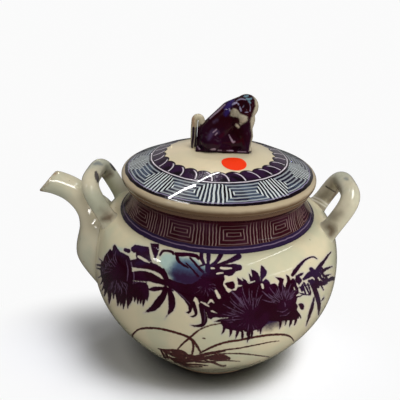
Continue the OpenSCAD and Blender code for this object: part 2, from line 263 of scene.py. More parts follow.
# Petals at the edge of the blooms, each from its root to its tip
petal_roots_and_tips = [
    (103, 266, 94.8, 264.6), (103, 270, 96, 268), (103, 263, 99.3, 259), (102, 274, 98.3, 277.8),
    (103, 278, 100.5, 284.5), (105, 281, 102, 290.5), (106.5, 283, 104.3, 296), (109, 286, 109, 304),
    (112, 288, 113.5, 298.5), (117, 290, 117.8, 306), (120.5, 291, 120.6, 306), (123.5, 291, 123.3, 308.8),
    (127.3, 291, 127.8, 308.3), (130.8, 291, 130.3, 304), (134, 290, 134.5, 302), (137, 290, 137.6, 303.8),
    (140, 290, 140.3, 304), (143.5, 289, 143, 306.2), (146, 286, 147, 301), (224, 316, 213.5, 317),
    (224, 319.5, 214, 321.8), (225, 324, 221.6, 334.4), (231, 326, 229.5, 336.8), (238, 326, 235.6, 338.2),
    (242.5, 326, 241.8, 339.6), (248.5, 327, 247.3, 342), (251, 327, 251.6, 337.6),
    (257, 325, 257.8, 331.4), (259.6, 323, 260.4, 333.6), (280, 318, 279.5, 328.8), (286, 317, 285, 325.4),
    (291, 316, 289.4, 326.8), (296, 315, 294.4, 325.2), (296, 311, 300.8, 318)]
petal_strokes = []
for root_x, root_y, tip_x, tip_y in petal_roots_and_tips:
    petal_w = min(5.0, 0.32 * math.hypot(tip_x - root_x, tip_y - root_y))
    hook = (0.45 * root_x + 0.55 * tip_x + 0.7, 0.45 * root_y + 0.55 * tip_y)
    petal_strokes.append([(root_x, root_y, petal_w), (*hook, 0.8 * petal_w), (tip_x, tip_y, 1.0)])
leaf_mass = [
    (168, 278), (176, 281.5), (184, 284), (192, 284), (198, 280.5), (203, 274), (212, 271), (220, 277),
    (223, 284), (226, 290), (229, 293), (226, 300), (225, 306), (225, 314), (217, 316), (213, 318),
    (211.5, 319.5), (208, 318.5), (206, 312), (202.5, 308), (199, 303), (197, 298), (195, 297), (193, 301),
    (193, 306), (191.5, 312), (189, 314), (185, 312.5), (188.5, 311), (188, 306), (184, 300), (178, 294),
    (172, 288.5), (168, 284)]
leaf_fills = [
    bloom_left, bloom_middle, bloom_right, leaf_mass,
    [(131, 247.5), (135, 244.5), (140, 245.5), (149, 247), (149.5, 252), (151, 258), (152, 262), (149, 261),
     (143, 257.5), (138, 255), (137, 252), (134, 253), (131, 251)],
    [(150.4, 243.3), (159, 243.5), (159.2, 249), (158, 254), (156.4, 258), (156.8, 261.5), (154.5, 263),
     (153, 256), (151.2, 249)],
    [(148, 288.5), (155, 286.5), (163, 286.5), (167, 285), (162, 290), (155, 291.5), (149, 290.5)],
    [(166, 285), (168, 288), (168, 292), (165, 300), (160, 307), (155, 311), (150, 312), (143.5, 313),
     (148, 309), (151, 306), (156, 299), (161, 293), (163, 288)],
    [(167.5, 287), (171, 289), (174, 295), (175.5, 300), (175.5, 306), (173.5, 311), (169, 314.5),
     (164.5, 319.5), (167.5, 313.5), (168.5, 308), (168, 300), (167.5, 293)],
    [(205, 264), (213, 265), (222, 264.5), (236, 263.6), (240, 266), (240.5, 270), (236, 271.5), (233, 275),
     (229, 276.6), (225, 275), (222, 279), (213, 275), (205, 272)],
    [(219, 275), (224, 275), (225, 279), (223, 284), (219, 284)],
    [(224, 283.6), (228, 282), (233, 281), (235, 284), (235, 288), (232, 290), (228, 288)],
    [(295, 279), (297, 275), (300, 273), (304, 272.5), (303, 275), (299, 277), (298, 281), (296, 284)]]
leaf_strokes = [
    [(125.5, 250, 4), (128.5, 251, 4.5)], [(137, 252, 3), (138, 258, 3), (141, 262, 4)],
    [(131, 263.5, 7), (140, 263.5, 10), (150, 266.3, 9), (158, 269.8, 8), (163, 273.5, 7), (166.5, 279, 5)],
    [(133, 276, 9), (142, 276, 10.5), (150, 277.3, 9.5), (158, 280.2, 8.5), (166, 284, 4.5)],
    [(163, 270, 4), (166, 277, 3), (167, 284, 4)], [(166, 282.5, 3), (170, 287, 3), (173, 290.5, 2.4)],
    [(305, 278, 3), (309, 274.5, 5), (314, 273.5, 6), (319, 275, 5), (323, 279, 4), (326, 281, 3)],
    [(314, 275, 4), (317, 279, 4.5), (321, 283, 4)],
    [(319, 270, 3), (322, 272.5, 3.5), (325, 276, 3), (327, 279, 3)],
    [(312, 280, 3), (316, 282.5, 3.5), (320, 285, 2.5)],
    [(297.5, 277, 4.5), (300, 282, 5), (303, 288.5, 3.5)],
    [(293, 280, 3.5), (295.5, 286, 4), (296.5, 292, 4.5), (295.5, 299, 3)],
    [(297.5, 277, 4), (298.5, 281, 4.5), (301, 287, 3.5), (302, 291, 2)],
    [(160, 255.5, 2), (162.5, 251.5, 3), (167, 250.8, 2.5), (172, 252, 3), (173.5, 254, 2.5)],
    [(176, 254, 4), (180, 254.5, 4.5), (188, 254.5, 4), (196, 256, 4), (198.5, 258.5, 3)],
    [(177, 255, 3.5), (178, 260, 3.5), (182, 264, 2.5), (188, 267.5, 2)],
    [(190, 258, 2), (194, 262, 2.5), (199, 268, 3), (203, 272, 3)],
    [(186, 263, 1.5), (192, 269, 2), (198, 276, 2.5)],
    [(193, 303, 4), (195, 309, 4), (196, 314, 3), (193, 316.5, 2), (190, 316, 1)],
    [(201, 305, 5), (203, 313, 6), (204.5, 320, 6), (202, 325, 4), (196, 326, 2.5), (190.5, 325, 1)],
    [(201.5, 252, 4), (201.5, 258, 4), (204, 264, 3)],
    [(208.5, 252, 4.5), (208.5, 258, 4.5), (208, 265, 3)],
    [(221.5, 248, 4), (221, 254, 5), (217, 261, 4), (211, 265.5, 3)],
    [(238.5, 256.5, 6.5), (232, 260, 5), (224, 263, 3.5), (213, 266.5, 3)],
    [(239, 267.5, 6.5), (233, 266.8, 3), (222, 266.5, 2), (210, 267.5, 3)],
    [(234, 270.5, 2), (222, 270.5, 1.8), (208, 270.5, 3)], [(200, 266, 2), (206, 264.5, 2), (213, 266, 2)],
    [(299, 304.5, 1.5), (301.5, 305.5, 5), (302, 308, 4)],
    [(300, 280, 2.2), (303, 287, 2.2), (306, 294.5, 1.8)],
    [(304, 283, 2.2), (307, 289, 2), (310, 295, 1.6)], [(297, 288, 1.6), (304, 286, 1.5), (309, 285, 1.5)],
    [(299, 293, 1.4), (305, 294.5, 1.8), (311, 295, 1)], [(295, 297.5, 2), (302, 295.5, 1.4)],
    [(308, 284, 2), (310, 290, 1.8), (311, 295, 1)],
    [(292.5, 275, 3.5), (296, 270, 4.5), (300, 265, 3.5), (305, 260, 2.5), (310, 257.5, 1.8),
     (314, 257, 1.6), (317, 259, 1)],
    [(316, 271, 3.5), (320, 266, 4), (324, 261, 3), (328, 255.5, 2.2), (331, 252, 1)],
    [(304, 279, 3), (308, 276, 5), (313, 274, 6), (317, 275, 5)], [(311, 269, 4), (314, 272, 5)],
    [(317, 272, 4), (321, 268, 3), (323, 270, 2)], [(322, 272, 3), (326, 269, 3), (332, 266.5, 1.2)],
    [(320, 278, 3), (325, 276, 2.5), (331, 274.3, 1)],
    [(322, 283, 3), (327, 281, 3), (332, 278.5, 4), (334, 279, 3)],
    [(318, 280, 4), (323, 284, 3), (327, 283, 2)], [(309, 281, 3), (314, 283, 4), (318, 287, 3)],
    [(310, 281, 3), (314, 288, 5), (317, 296, 5), (319, 305, 4), (318.5, 315, 1)],
    [(314, 298, 2), (312, 307, 3.5), (309.5, 315, 3), (306, 326, 0.8)],
    [(321, 301, 1), (323, 299, 1.4), (324, 297, 1)], [(321, 285, 2), (323.5, 290, 1.4)]]
# Places left bare between the leaves; a few short ones, the last among them, are painted highlights
bare_and_highlight_strokes = [
    [(150, 247.5, 1.6), (152, 254, 1.8), (155, 262, 2)],
    [(133.5, 269.6, 1.6), (140, 269.3, 1.6), (146, 269.9, 1.7), (152, 271.8, 2.2), (158, 274.6, 3),
     (162, 278, 1.6)], [(216, 291, 2.5), (219, 297, 3.5)],
    [(208, 303.5, 1.2), (211, 300.5, 2.2), (214, 303, 1)], [(262, 284.5, 2.4), (263, 288, 2)],
    [(249, 283, 1), (255, 281, 1)], [(239, 286, 1.4), (242, 285.5, 1)],
    [(148.5, 283.2, 3.6), (154, 284.2, 2.8), (160, 285.2, 1.6), (164, 285.6, 0.8)],
    [(138.5, 256.5, 2), (144, 260, 2.2), (149, 262.3, 1)],
    [(213, 318.8, 1.6), (220, 318.4, 1.4), (229, 318, 0.6)], [(211.5, 311, 1.3), (217, 313, 0.8)],
    [(201, 302, 1), (205, 304, 1.6), (209, 306.5, 1)],
    [(221, 268, 2.2), (226, 268.4, 2.4), (231.5, 268.2, 1.2)], [(211.3, 268.2, 2), (214, 268.4, 1.5)],
    [(217, 273.5, 1.6), (223, 272.8, 1.3)], [(300, 285.5, 2), (303, 281, 1)],
    [(309.5, 278.6, 1), (312.5, 277.6, 1.4), (314.5, 279.5, 0.9)], [(318.4, 277.5, 1), (319.6, 280, 1.5)],
    [(321.6, 275.6, 0.9), (322.8, 277.4, 0.9)], [(324, 273, 0.7), (325.4, 274.6, 0.9)],
    [(297.2, 284.3, 1.4), (298.6, 286.8, 1.8)], [(294, 287.4, 0.9), (294.7, 289.6, 1.1)],
    [(296.6, 295.8, 0.9), (299, 294.2, 1.6)], [(243.6, 331, 0.9), (246, 336.6, 2.4)],
    [(197, 278.4, 1.3), (201, 278.3, 1.1)]]


def veins(centre, start, end, count, inner, outer, width, swirl):
    """Pale lines scratched through the wet cobalt, spread like spokes between two directions in degrees."""
    lines = []
    for k in range(count):
        angle = math.radians(start + (end - start) * k / (count - 1))
        way = np.array([math.cos(angle), -math.sin(angle)])
        reach = outer * (0.8 + 0.2 * math.sin(2.4 * k + start))
        near = np.array(centre) + way * inner * (0.72 + 0.28 * math.sin(3.7 * k))
        far = np.array(centre) + way * reach
        bend = near * 0.45 + far * 0.55 + swirl * np.array([way[1], -way[0]])
        lines.append([(*near, 0.5 * width), (*bend, width), (*far, 0.4 * width)])
    return lines


vein_fans = [
    ((118, 272), 95, 182, 12, 13, 23, 0.9, 1.5), ((119, 276), 218, 308, 12, 11, 21, 0.9, 1.2),
    ((252, 318), 66, 190, 22, 19, 33, 0.9, 0.6), ((250, 318), 215, 320, 8, 11, 16, 0.6, 0.0),
    ((284, 305), 42, 166, 18, 11, 23, 0.95, 0.4), ((206, 284), 200, 350, 9, 8, 15, 0.7, 1.0)]
vein_strokes = [line for fan in vein_fans for line in veins(*fan)]
vein_strokes += [
    [(231, 291, 1), (237, 297, 2), (244, 305, 1)], [(126, 260, 0.6), (128, 270, 1.2), (127, 281, 0.6)],
    [(280, 316, 0.5), (286, 315, 0.9), (290, 312, 0.5)],
    [(277, 311, 0.5), (283, 311.8, 0.9), (288, 309, 0.5)],
    [(284.5, 302, 0.6), (285.3, 305, 1.1), (285.5, 307, 0.5)],
    [(262, 291, 0.6), (266, 294.5, 1.1), (271, 298.5, 0.5)],
    [(131, 262, 1), (134, 275, 1.3), (133, 284, 0.8)],
    [(135, 283, 1.2), (139, 281.5, 1.4), (143, 282.5, 1)],
    [(172, 289, 0.8), (182, 296, 1), (190, 304, 0.6)], [(204, 309, 0.6), (205, 317, 0.8), (204, 324, 0.5)]]
# Grass in iron brown
iron_strokes = [
    [(200.5, 352, 2), (197, 346, 2.8), (191, 339, 3), (183, 335, 2.6), (170, 331, 2.6), (158, 328.5, 2.4),
     (148, 328, 2.4), (140, 329, 2.2), (135, 332, 2), (132.5, 336, 2), (133.5, 342, 1)],
    [(176, 351, 1.6), (182, 344.5, 2), (190, 337.5, 2.5), (200, 329.5, 2), (210, 325.5, 1.8),
     (222, 323, 1.5)], [(190, 338, 2), (193, 343, 2.5), (193, 350, 2.5), (191, 358, 2)],
    [(200, 353, 2), (212, 347, 2.4), (225, 342.5, 2.4), (240, 340, 2.4), (255, 337, 2.4), (270, 335, 2.4),
     (282, 334.5, 2.4), (289, 336, 2), (292.5, 339, 1.5), (294, 341.5, 0.8)],
    [(205, 353.5, 1.8), (225, 350, 1.7), (240, 348, 1.6), (258, 344.5, 1.5), (270, 342, 1.2),
     (279, 341, 0.8)],
    [(215, 354, 1.6), (235, 353.5, 1.5), (250, 354.5, 1.4), (262, 356, 1.2), (270, 357, 0.8)],
    [(158, 348.5, 1), (165, 350.3, 2.6), (174, 350.6, 3.4), (182, 352, 3.6), (187, 355, 3), (188, 358, 2)],
    [(160.5, 349.5, 1.6), (163, 354, 2.4), (166, 359.5, 1.6)],
    [(164, 351.5, 2), (167, 355.5, 2.2), (168, 359, 1.4)],
    [(166, 352, 2.6), (173, 355, 3.2), (181, 358, 3), (190, 360.5, 2.2)],
    [(169, 357, 2), (176, 360.5, 2.6), (185, 363, 2)],
    [(173, 352.5, 3), (179, 354.5, 4), (185, 356.5, 3.6)],
    [(172, 359.5, 1.6), (182, 364, 2.2), (192, 366.8, 1.6)],
    [(178, 361, 2), (188, 359, 2.6), (200, 355.5, 3), (213, 352.8, 3), (225, 350.8, 2)],
    [(180, 362, 2), (192, 361, 3), (206, 358.5, 3), (222, 356.5, 2.4)],
    [(166, 357, 2), (174, 358.6, 2.2), (184, 360.4, 2.4)],
    [(174, 362, 1.4), (186, 364.2, 2.2), (198, 364.6, 2), (208, 365.8, 1)],
    [(190, 356, 4), (196, 358, 5), (203, 356.6, 4)],
    [(180, 365.6, 1.2), (190, 366.8, 1.8), (202, 366.6, 1.4)],
    [(196, 361.5, 2.4), (206, 362.2, 2), (216, 362, 1.2)],
    [(206, 357.6, 3), (216, 356.4, 4), (224, 356.8, 4.4), (229, 358.4, 3.4)],
    [(210, 359.4, 2), (219, 359, 3), (226, 359.6, 2)],
    [(205, 360.5, 1.8), (214, 363, 2), (222, 366, 2), (226, 365.3, 1.4)],
    [(210, 361.3, 1.2), (225, 360.5, 1.4), (240, 361.4, 0.8)], [(203, 338, 1.6), (205, 338.5, 1.6)]]
# Thin cobalt washes
wash_fills = [
    [(160, 256), (165, 252), (173, 253), (177, 255), (186, 256), (197, 258), (201, 264), (209, 264),
     (209, 271), (206, 279), (200, 290), (186, 292), (176, 286), (168, 277), (162, 269), (158.5, 263)],
    [(113, 245), (124, 248), (122, 252), (116, 250)]]
deep_wash_fills = [
    [(178, 257), (184, 259), (192, 259), (203, 265), (209, 272), (206, 292), (186, 292), (170, 283),
     (168, 270)]]
indigo_fills = [
    [(164, 268), (172, 269), (180, 266), (190, 269), (198, 268), (206, 270), (216, 276), (212, 287),
     (200, 293), (186, 293), (172, 285)],
    [(246, 322), (258, 312), (290, 312), (286, 323), (279, 328.5), (270, 331.5), (260, 332)]]
# Brown blooms on the body at the lug feet; the stroke under the rear lug's far leg and the long one along the
# bottom of the bowl are painted shade
stain_and_shade_strokes = [
    [(324, 227, 4), (328, 232, 7), (332, 237, 6)], [(101, 221, 3), (106, 223, 5), (111, 219, 4)],
    [(315, 205, 3), (321, 209, 4), (325, 213, 3)],
    [(148, 359, 2), (170, 367, 4), (195, 371, 6), (220, 371, 6), (242, 367.5, 4), (260, 361, 1)]]
blue_leaf_fills = [
    [(108, 242), (160, 242), (160, 264), (130, 266), (120, 256), (106, 254)],
    [(200, 246), (244, 250), (244, 277), (203, 276)], [(238, 262), (270, 262), (270, 282), (238, 284)],
    [(288, 250), (336, 250), (336, 292), (306, 312), (294, 284)]]


def curve(a, b, c, d, t):
    """Smooth curve from b to c, with a before it and d after it."""
    bend = (2 * a - 5 * b + 4 * c - d) * t ** 2 + (3 * b - a - 3 * c + d) * t ** 3
    return 0.5 * (2 * b + (c - a) * t + bend)


def brush_path(points, steps=6):
    """A smooth path through brush points."""
    points = np.array(points, float)
    knots = np.vstack([2 * points[0] - points[1], points, 2 * points[-1] - points[-2]])
    t = np.linspace(0, 1, steps, endpoint=False)[:, None]
    spans = [curve(*four, t) for four in zip(knots, knots[1:], knots[2:], knots[3:])]
    return np.vstack(spans + [points[-1:]])


unpainted = -4.0
brush_margin = 6


def painted(px, shapes):
    """How deep each pixel lies under strokes and filled outlines, in pixels; below nought outside them."""
    depth = np.full(len(px), unpainted)
    for shape in shapes:
        is_stroke = len(shape[0]) == 3
        path = brush_path(shape) if is_stroke else np.array([*shape, shape[0]], float)
        start, end = path[:-1], path[1:]
        way = end[:, :2] - start[:, :2]
        near = (px > path[:, :2].min(0) - brush_margin) & (px < path[:, :2].max(0) + brush_margin)
        near = near.all(1)
        spot = px[near]
        along = ((spot[:, None] - start[:, :2]) * way).sum(2) / np.maximum((way ** 2).sum(1), 1e-9)
        along = np.clip(along, 0, 1)
        gap = np.linalg.norm(spot[:, None] - start[:, :2] - along[..., None] * way, axis=2)
        if is_stroke:
            half = (start[:, 2] + (end[:, 2] - start[:, 2]) * along) / 2
            deep = (half - gap).max(1)
        else:
            crossing = (start[:, 1] > spot[:, 1:]) != (end[:, 1] > spot[:, 1:])
            slope = way[:, 0] / np.where(way[:, 1] == 0, 1e-9, way[:, 1])
            left_of = spot[:, :1] < start[:, 0] + slope * (spot[:, 1:] - start[:, 1])
            inside = (crossing & left_of).sum(1) % 2 == 1
            deep = np.where(inside, 1, -1) * gap.min(1)
        depth[near] = np.maximum(depth[near], deep)
    return depth


def lay(piece, px, brushwork, limit=np.inf):
    """Keeps on a piece how deep its points lie under each kind of brushwork, up to a limit."""
    for name, shapes in brushwork.items():
        keep(piece, name, np.minimum(painted(px, shapes), limit))


body_brushwork = {
    "vein": vein_strokes, "iron": iron_strokes, "wash": wash_fills, "deep_wash": deep_wash_fills,
    "indigo_wash": indigo_fills, "blue_leaf": blue_leaf_fills, "stain_and_shade": stain_and_shade_strokes}
edge_on = 0.08
edge_fade = 40
navy_reach = 0.6
bare_foot_z = 2.2


def paint_body(half):
    """Lays the brushwork on one half of the body. The far side carries the same, turned half round."""
    points = places(half)[0]
    height = points[:, 2]
    radius = np.hypot(points[:, 0], points[:, 1])
    slope = (skin_r(height + 0.1) - skin_r(height - 0.1)) / 0.2
    normals = np.column_stack([points[:, :2] / np.maximum(radius, 0.1)[:, None], -slope])
    normals /= np.linalg.norm(normals, axis=1)[:, None]
    spin = np.where(points[:, 1:2] > 0, [[-1.0, -1.0, 1.0]], [[1.0, 1.0, 1.0]])
    px, facing = photo_place(points * spin, normals * spin)
    outer = radius > skin_r(height) - 0.5
    limit = np.where(outer, (facing - edge_on) * edge_fade, unpainted)
    ink = np.minimum(painted(px, leaf_strokes + petal_strokes + leaf_fills), -painted(px, bare_and_highlight_strokes))
    keep(half, "ink", np.minimum(ink, limit))
    lay(half, px, body_brushwork, limit)
    keep(half, "bare", height < bare_foot_z)
    over_neck = np.clip(neck_r + navy_reach - radius, -4, 4)
    keep(half, "navy", np.where(outer & (height > belly_z), over_neck, unpainted))


paint_body(lower_bowl)
paint_body(shoulder)


# Glaze shared by all porcelain: slow drifts from warm to cool, fine specks, and a faintly uneven surface
def feed(tree, socket, value):
    """Links or sets a socket."""
    if isinstance(value, bpy.types.NodeSocket):
        tree.links.new(value, socket)
    else:
        socket.default_value = value


def fed(tree, kind, operation, values):
    """A node of arithmetic with its inputs fed in order."""
    step = tree.nodes.new(kind)
    step.operation = operation
    for socket, value in zip(step.inputs, values):
        feed(tree, socket, value)
    return step.outputs


def calc(tree, operation, *values):
    """One step of arithmetic."""
    return fed(tree, "ShaderNodeMath", operation, values)[0]


def times(tree, first, second):
    """Two values multiplied."""
    return calc(tree, "MULTIPLY", first, second)


def rise(tree, value, low, high, top=1.0, foot=0.0):
    """A soft step from a foot at low to a top at high."""
    step = tree.nodes.new("ShaderNodeMapRange")
    step.interpolation_type = "SMOOTHSTEP"
    for socket, number in zip(step.inputs, (value, low, high, foot, top)):
        feed(tree, socket, number)
    return step.outputs[0]


def fall(tree, value, low, high):
    """A soft step from 1 at low to 0 at high."""
    return rise(tree, value, low, high, 0.0, 1.0)


def mixed(tree, share, first, second):
    """One colour laid over another."""
    step = tree.nodes.new("ShaderNodeMix")
    step.data_type = "RGBA"
    for place, value in ((0, share), (6, first), (7, second)):
        feed(tree, step.inputs[place], value)
    return step.outputs[2]


def over(tree, under, value, low, high, paint, share=1.0):
    """Paint laid over a colour where a value rises from low to high."""
    return mixed(tree, rise(tree, value, low, high, share), under, paint)


def cloud(tree, size_mm, detail=2.0, roughness=0.5):
    """Noise with features of a size in mm, fixed to the piece."""
    place = tree.nodes.new("ShaderNodeTexCoord")
    step = tree.nodes.new("ShaderNodeTexNoise")
    tree.links.new(place.outputs["Object"], step.inputs["Vector"])
    step.inputs["Scale"].default_value = 1 / (size_mm * MM)
    step.inputs["Detail"].default_value = detail
    step.inputs["Roughness"].default_value = roughness
    return step.outputs[0]


def waver(tree, span, size_mm, detail=2.0, roughness=0.5):
    """Noise over a span, as much below nought as above."""
    return calc(tree, "MULTIPLY_ADD", cloud(tree, size_mm, detail, roughness), span, -span / 2)


def stored(tree, name):
    """A number kept on the mesh."""
    step = tree.nodes.new("ShaderNodeAttribute")
    step.attribute_name = name
    return step.outputs["Fac"]


def unsteady(tree, name, sway, share=1.0):
    """A number kept on the mesh, made uneven by a share of some noise."""
    return calc(tree, "MULTIPLY_ADD", sway, share, stored(tree, name))


def tint(red, green, blue):
    """A colour given as it looks on screen, 0 to 255."""
    parts = [c / 255 for c in (red, green, blue)]
    return (*[c / 12.92 if c <= 0.04045 else ((c + 0.055) / 1.055) ** 2.4 for c in parts], 1)


def new_group(name, inputs, outputs):
    """An empty shader group with named sockets."""
    group = bpy.data.node_groups.new(name, "ShaderNodeTree")
    for way, sockets in (("INPUT", inputs), ("OUTPUT", outputs)):
        for title, kind in sockets:
            group.interface.new_socket(title, in_out=way, socket_type="NodeSocket" + kind)
    return group, group.nodes.new("NodeGroupInput").outputs, group.nodes.new("NodeGroupOutput").inputs


def place_group(tree, group, **inputs):
    """Puts a shared group into a material and feeds it."""
    step = tree.nodes.new("ShaderNodeGroup")
    step.node_tree = group
    for title, value in inputs.items():
        feed(tree, step.inputs[title], value)
    return step.outputs


glaze, taken, given = new_group("Glaze",
    [("Warm", "Color"), ("Cool", "Color"), ("Speck", "Color")],
    [("Colour", "Color"), ("Roughness", "Float"), ("Height", "Float")])
drift = rise(glaze, cloud(glaze, 26, 3), 0.38, 0.64)
clouded = mixed(glaze, drift, taken["Warm"], taken["Cool"])
feed(glaze, given["Colour"], over(glaze, clouded, cloud(glaze, 2.6, 1), 0.76, 0.82, taken["Speck"], 0.55))
feed(glaze, given["Roughness"], calc(glaze, "MULTIPLY_ADD", cloud(glaze, 9, 2), 0.16, 0.1))
feed(glaze, given["Height"], calc(glaze, "MULTIPLY_ADD", cloud(glaze, 3.2, 1), 0.12, cloud(glaze, 16, 1)))


def new_material(name):
    """A material, its node tree and its shader."""
    material = bpy.data.materials.new(name)
    material.use_nodes = True
    return material, material.node_tree, material.node_tree.nodes["Principled BSDF"]


def bumped(tree, shader, height, distance, strength=1.0):
    """Makes a surface uneven; the distance is in mm."""
    bump = tree.nodes.new("ShaderNodeBump")
    bump.inputs["Strength"].default_value = strength
    bump.inputs["Distance"].default_value = distance * MM
    feed(tree, bump.inputs["Height"], height)
    feed(tree, shader.inputs["Normal"], bump.outputs["Normal"])


def porcelain(name, warm, cool, speck, gloss=0.75):
    """A glazed porcelain material: its node tree, its shader and the shared glaze with these colours."""
    material, tree, shader = new_material(name)
    shader.inputs["Specular IOR Level"].default_value = 0.2 * gloss
    shader.inputs["Coat Weight"].default_value = gloss
    shader.inputs["Coat Roughness"].default_value = 0.015
    coat = place_group(tree, glaze, Warm=warm, Cool=cool, Speck=speck)
    feed(tree, shader.inputs["Roughness"], coat["Roughness"])
    bumped(tree, shader, coat["Height"], 0.6, 0.35)
    return material, tree, shader, coat


cream = tint(206, 194, 162)
grey_green = tint(190, 187, 158)
iron_speck = tint(120, 92, 70)
ink_black = tint(36, 0, 16)
ink_indigo = tint(46, 6, 36)
vein_lilac = tint(104, 84, 108)
iron_brown = tint(68, 30, 28)
wash_pale = tint(160, 180, 170)
wash_blue = tint(66, 84, 110)
wash_indigo = tint(46, 26, 54)
stain_and_shade_brown = tint(108, 88, 70)
leaf_blue = tint(40, 19, 48)
halo_lilac = tint(168, 156, 170)
foot_biscuit_painted_shade = tint(104, 86, 70)
navy = tint(40, 27, 54)

body_glaze, tree, shader, coat = porcelain("painted_body_glaze", cream, grey_green, iron_speck)
wander = waver(tree, 1.2, 1.6)
streaks = waver(tree, 7.0, 3.5, 3, 0.6)
ink = unsteady(tree, "ink", wander)
pool = rise(tree, cloud(tree, 11, 3), 0.42, 0.66)
ink_colour = mixed(tree, times(tree, pool, 0.6), ink_black, ink_indigo)
bluer = times(tree, rise(tree, stored(tree, "blue_leaf"), -3, 3), rise(tree, pool, -0.6, 0.9))
ink_colour = mixed(tree, bluer, ink_colour, leaf_blue)
ink_colour = over(tree, ink_colour, unsteady(tree, "vein", wander, 0.6), -0.4, 0.5, vein_lilac, 0.62)
colour = over(tree, coat["Colour"], unsteady(tree, "stain_and_shade", streaks, 0.4), -2.2, 4, stain_and_shade_brown, 0.75)
colour = over(tree, colour, ink, -1.9, 0, halo_lilac, 0.35)
colour = over(tree, colour, stored(tree, "wash"), -1.5, 3.5, wash_pale)
deep = rise(tree, unsteady(tree, "deep_wash", streaks), -5, 6)
colour = over(tree, colour, stored(tree, "wash"), -1.5, 3.5, wash_blue, deep)
deepest = rise(tree, unsteady(tree, "indigo_wash", streaks, 1.4), -4, 9)
colour = over(tree, colour, stored(tree, "indigo_wash"), -3.5, 1, wash_indigo, deepest)
colour = over(tree, colour, unsteady(tree, "iron", wander), -0.45, 0.5, iron_brown)
colour = over(tree, colour, ink, -0.4, 0.45, ink_colour)
colour = over(tree, colour, unsteady(tree, "navy", wander, 0.5), -0.25, 0.3, navy)
# The unglazed foot ring is painted dark brown as painted shade where it stands on the floor
colour = mixed(tree, stored(tree, "bare"), colour, foot_biscuit_painted_shade)
feed(tree, shader.inputs["Base Color"], colour)
feed(tree, shader.inputs["Coat Weight"], calc(tree, "MULTIPLY_ADD", stored(tree, "bare"), -0.75, 0.75))
for half, node in ((lower_bowl, "lower_bowl"), (shoulder, "shoulder")):
    half.data.materials.append(body_glaze)
    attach(half, "pot")
    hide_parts(node)


# Neck
# A thrown collar, luted on the shoulder, with a waist and a rim that carries the lid.
# A brushed fret of nested panels runs round the waist, and a navy ring covers the luted joint.
waist_r = 57.5
waist_z = 121.9
rim_top = 128.5
neck_flare = neck_r - waist_r
rim_curve = [
    (59.2, rim_top), (60.05, 128.2), (60.3, 127.2), (60.1, 126.2), (59.2, 125.1), (57.95, 123.6),
    (waist_r, waist_z)]
neck_profile = [(bore_r, rim_top), *brush_path(rim_curve)[:-1]]
neck_profile += [(waist_r + neck_flare * (1 - t) ** 2, shoulder_z + (waist_z - shoulder_z) * t)
    for t in np.linspace(1, 0, 40)]
neck_profile += [(bore_r, shoulder_z)]
neck_collar = turned("neck_with_rim", neck_profile, 480, closed=True)

# Place on the wheel: radius and height in mm, turn from the front in radians
wheel, taken, given = new_group("Wheel", [], [("Radius", "Float"), ("Turn", "Float"), ("Height", "Float")])
spot = wheel.nodes.new("ShaderNodeSeparateXYZ")
feed(wheel, spot.inputs[0], wheel.nodes.new("ShaderNodeTexCoord").outputs["Object"])
spot_x, spot_y, spot_z = spot.outputs
square = calc(wheel, "MULTIPLY_ADD", spot_y, spot_y, times(wheel, spot_x, spot_x))
feed(wheel, given["Radius"], calc(wheel, "DIVIDE", calc(wheel, "SQRT", square), MM))
feed(wheel, given["Turn"], calc(wheel, "ARCTAN2", spot_x, times(wheel, spot_y, -1.0)))
feed(wheel, given["Height"], calc(wheel, "DIVIDE", spot_z, MM))

# Fret: panels of nested rectangles drawn with a fine brush round a short bar
fret, taken, given = new_group("Fret",
    [("Along", "Float"), ("Across", "Float"), ("Panel", "Float"), ("Pitch", "Float"), ("Bar", "Float")],
    [("Nested", "Float"), ("Line", "Float"), ("Edge", "Float"), ("Upright", "Float")])
sway = waver(fret, 1.5, 6)
half_panel = times(fret, taken["Panel"], 0.5)
along = calc(fret, "ADD", taken["Along"], sway)
from_middle = calc(fret, "ABSOLUTE", calc(fret, "WRAP", along, half_panel, times(fret, half_panel, -1.0)))
past_bar = calc(fret, "SUBTRACT", from_middle, taken["Bar"])
from_line = calc(fret, "ABSOLUTE", calc(fret, "MULTIPLY_ADD", sway, 0.5, taken["Across"]))
half_pitch = times(fret, taken["Pitch"], 0.5)
stepped = calc(fret, "PINGPONG", calc(fret, "MAXIMUM", past_bar, from_line), half_pitch)
nested = calc(fret, "DIVIDE", stepped, half_pitch)
feed(fret, given["Nested"], nested)
feed(fret, given["Line"], rise(fret, nested, 0.48, 0.7))
feed(fret, given["Edge"], times(fret, rise(fret, nested, 0.12, 0.34), fall(fret, nested, 0.48, 0.7)))
feed(fret, given["Upright"], rise(fret, calc(fret, "SUBTRACT", past_bar, from_line), -0.3, 0.5))


def fret_band(tree, at, across, radius, turn, panels, pitch, bar):
    """The fret run round the wheel at a radius, in a number of panels, turned by some degrees."""
    along = calc(tree, "MULTIPLY_ADD", at["Turn"], radius, -radius * math.radians(turn))
    panel = 2 * math.pi * radius / panels
    return place_group(tree, fret, Along=along, Across=across, Panel=panel, Pitch=pitch, Bar=bar)


def ring(tree, value, low, high, soft=0.18):
    """A painted ring between two distances in mm."""
    return times(tree, rise(tree, value, low - soft, low + soft), fall(tree, value, high - soft, high + soft))


neck_band_z = 116.6
neck_ground = tint(44, 8, 16)
neck_ground_grey = tint(56, 24, 36)
neck_line = tint(140, 116, 110)
neck_lilac = tint(112, 94, 116)
rim_painted_shade_brown = tint(96, 74, 58)
keep(neck_collar, "outside", np.hypot(*places(neck_collar)[0][:, :2].T) > bore_r + 0.6)

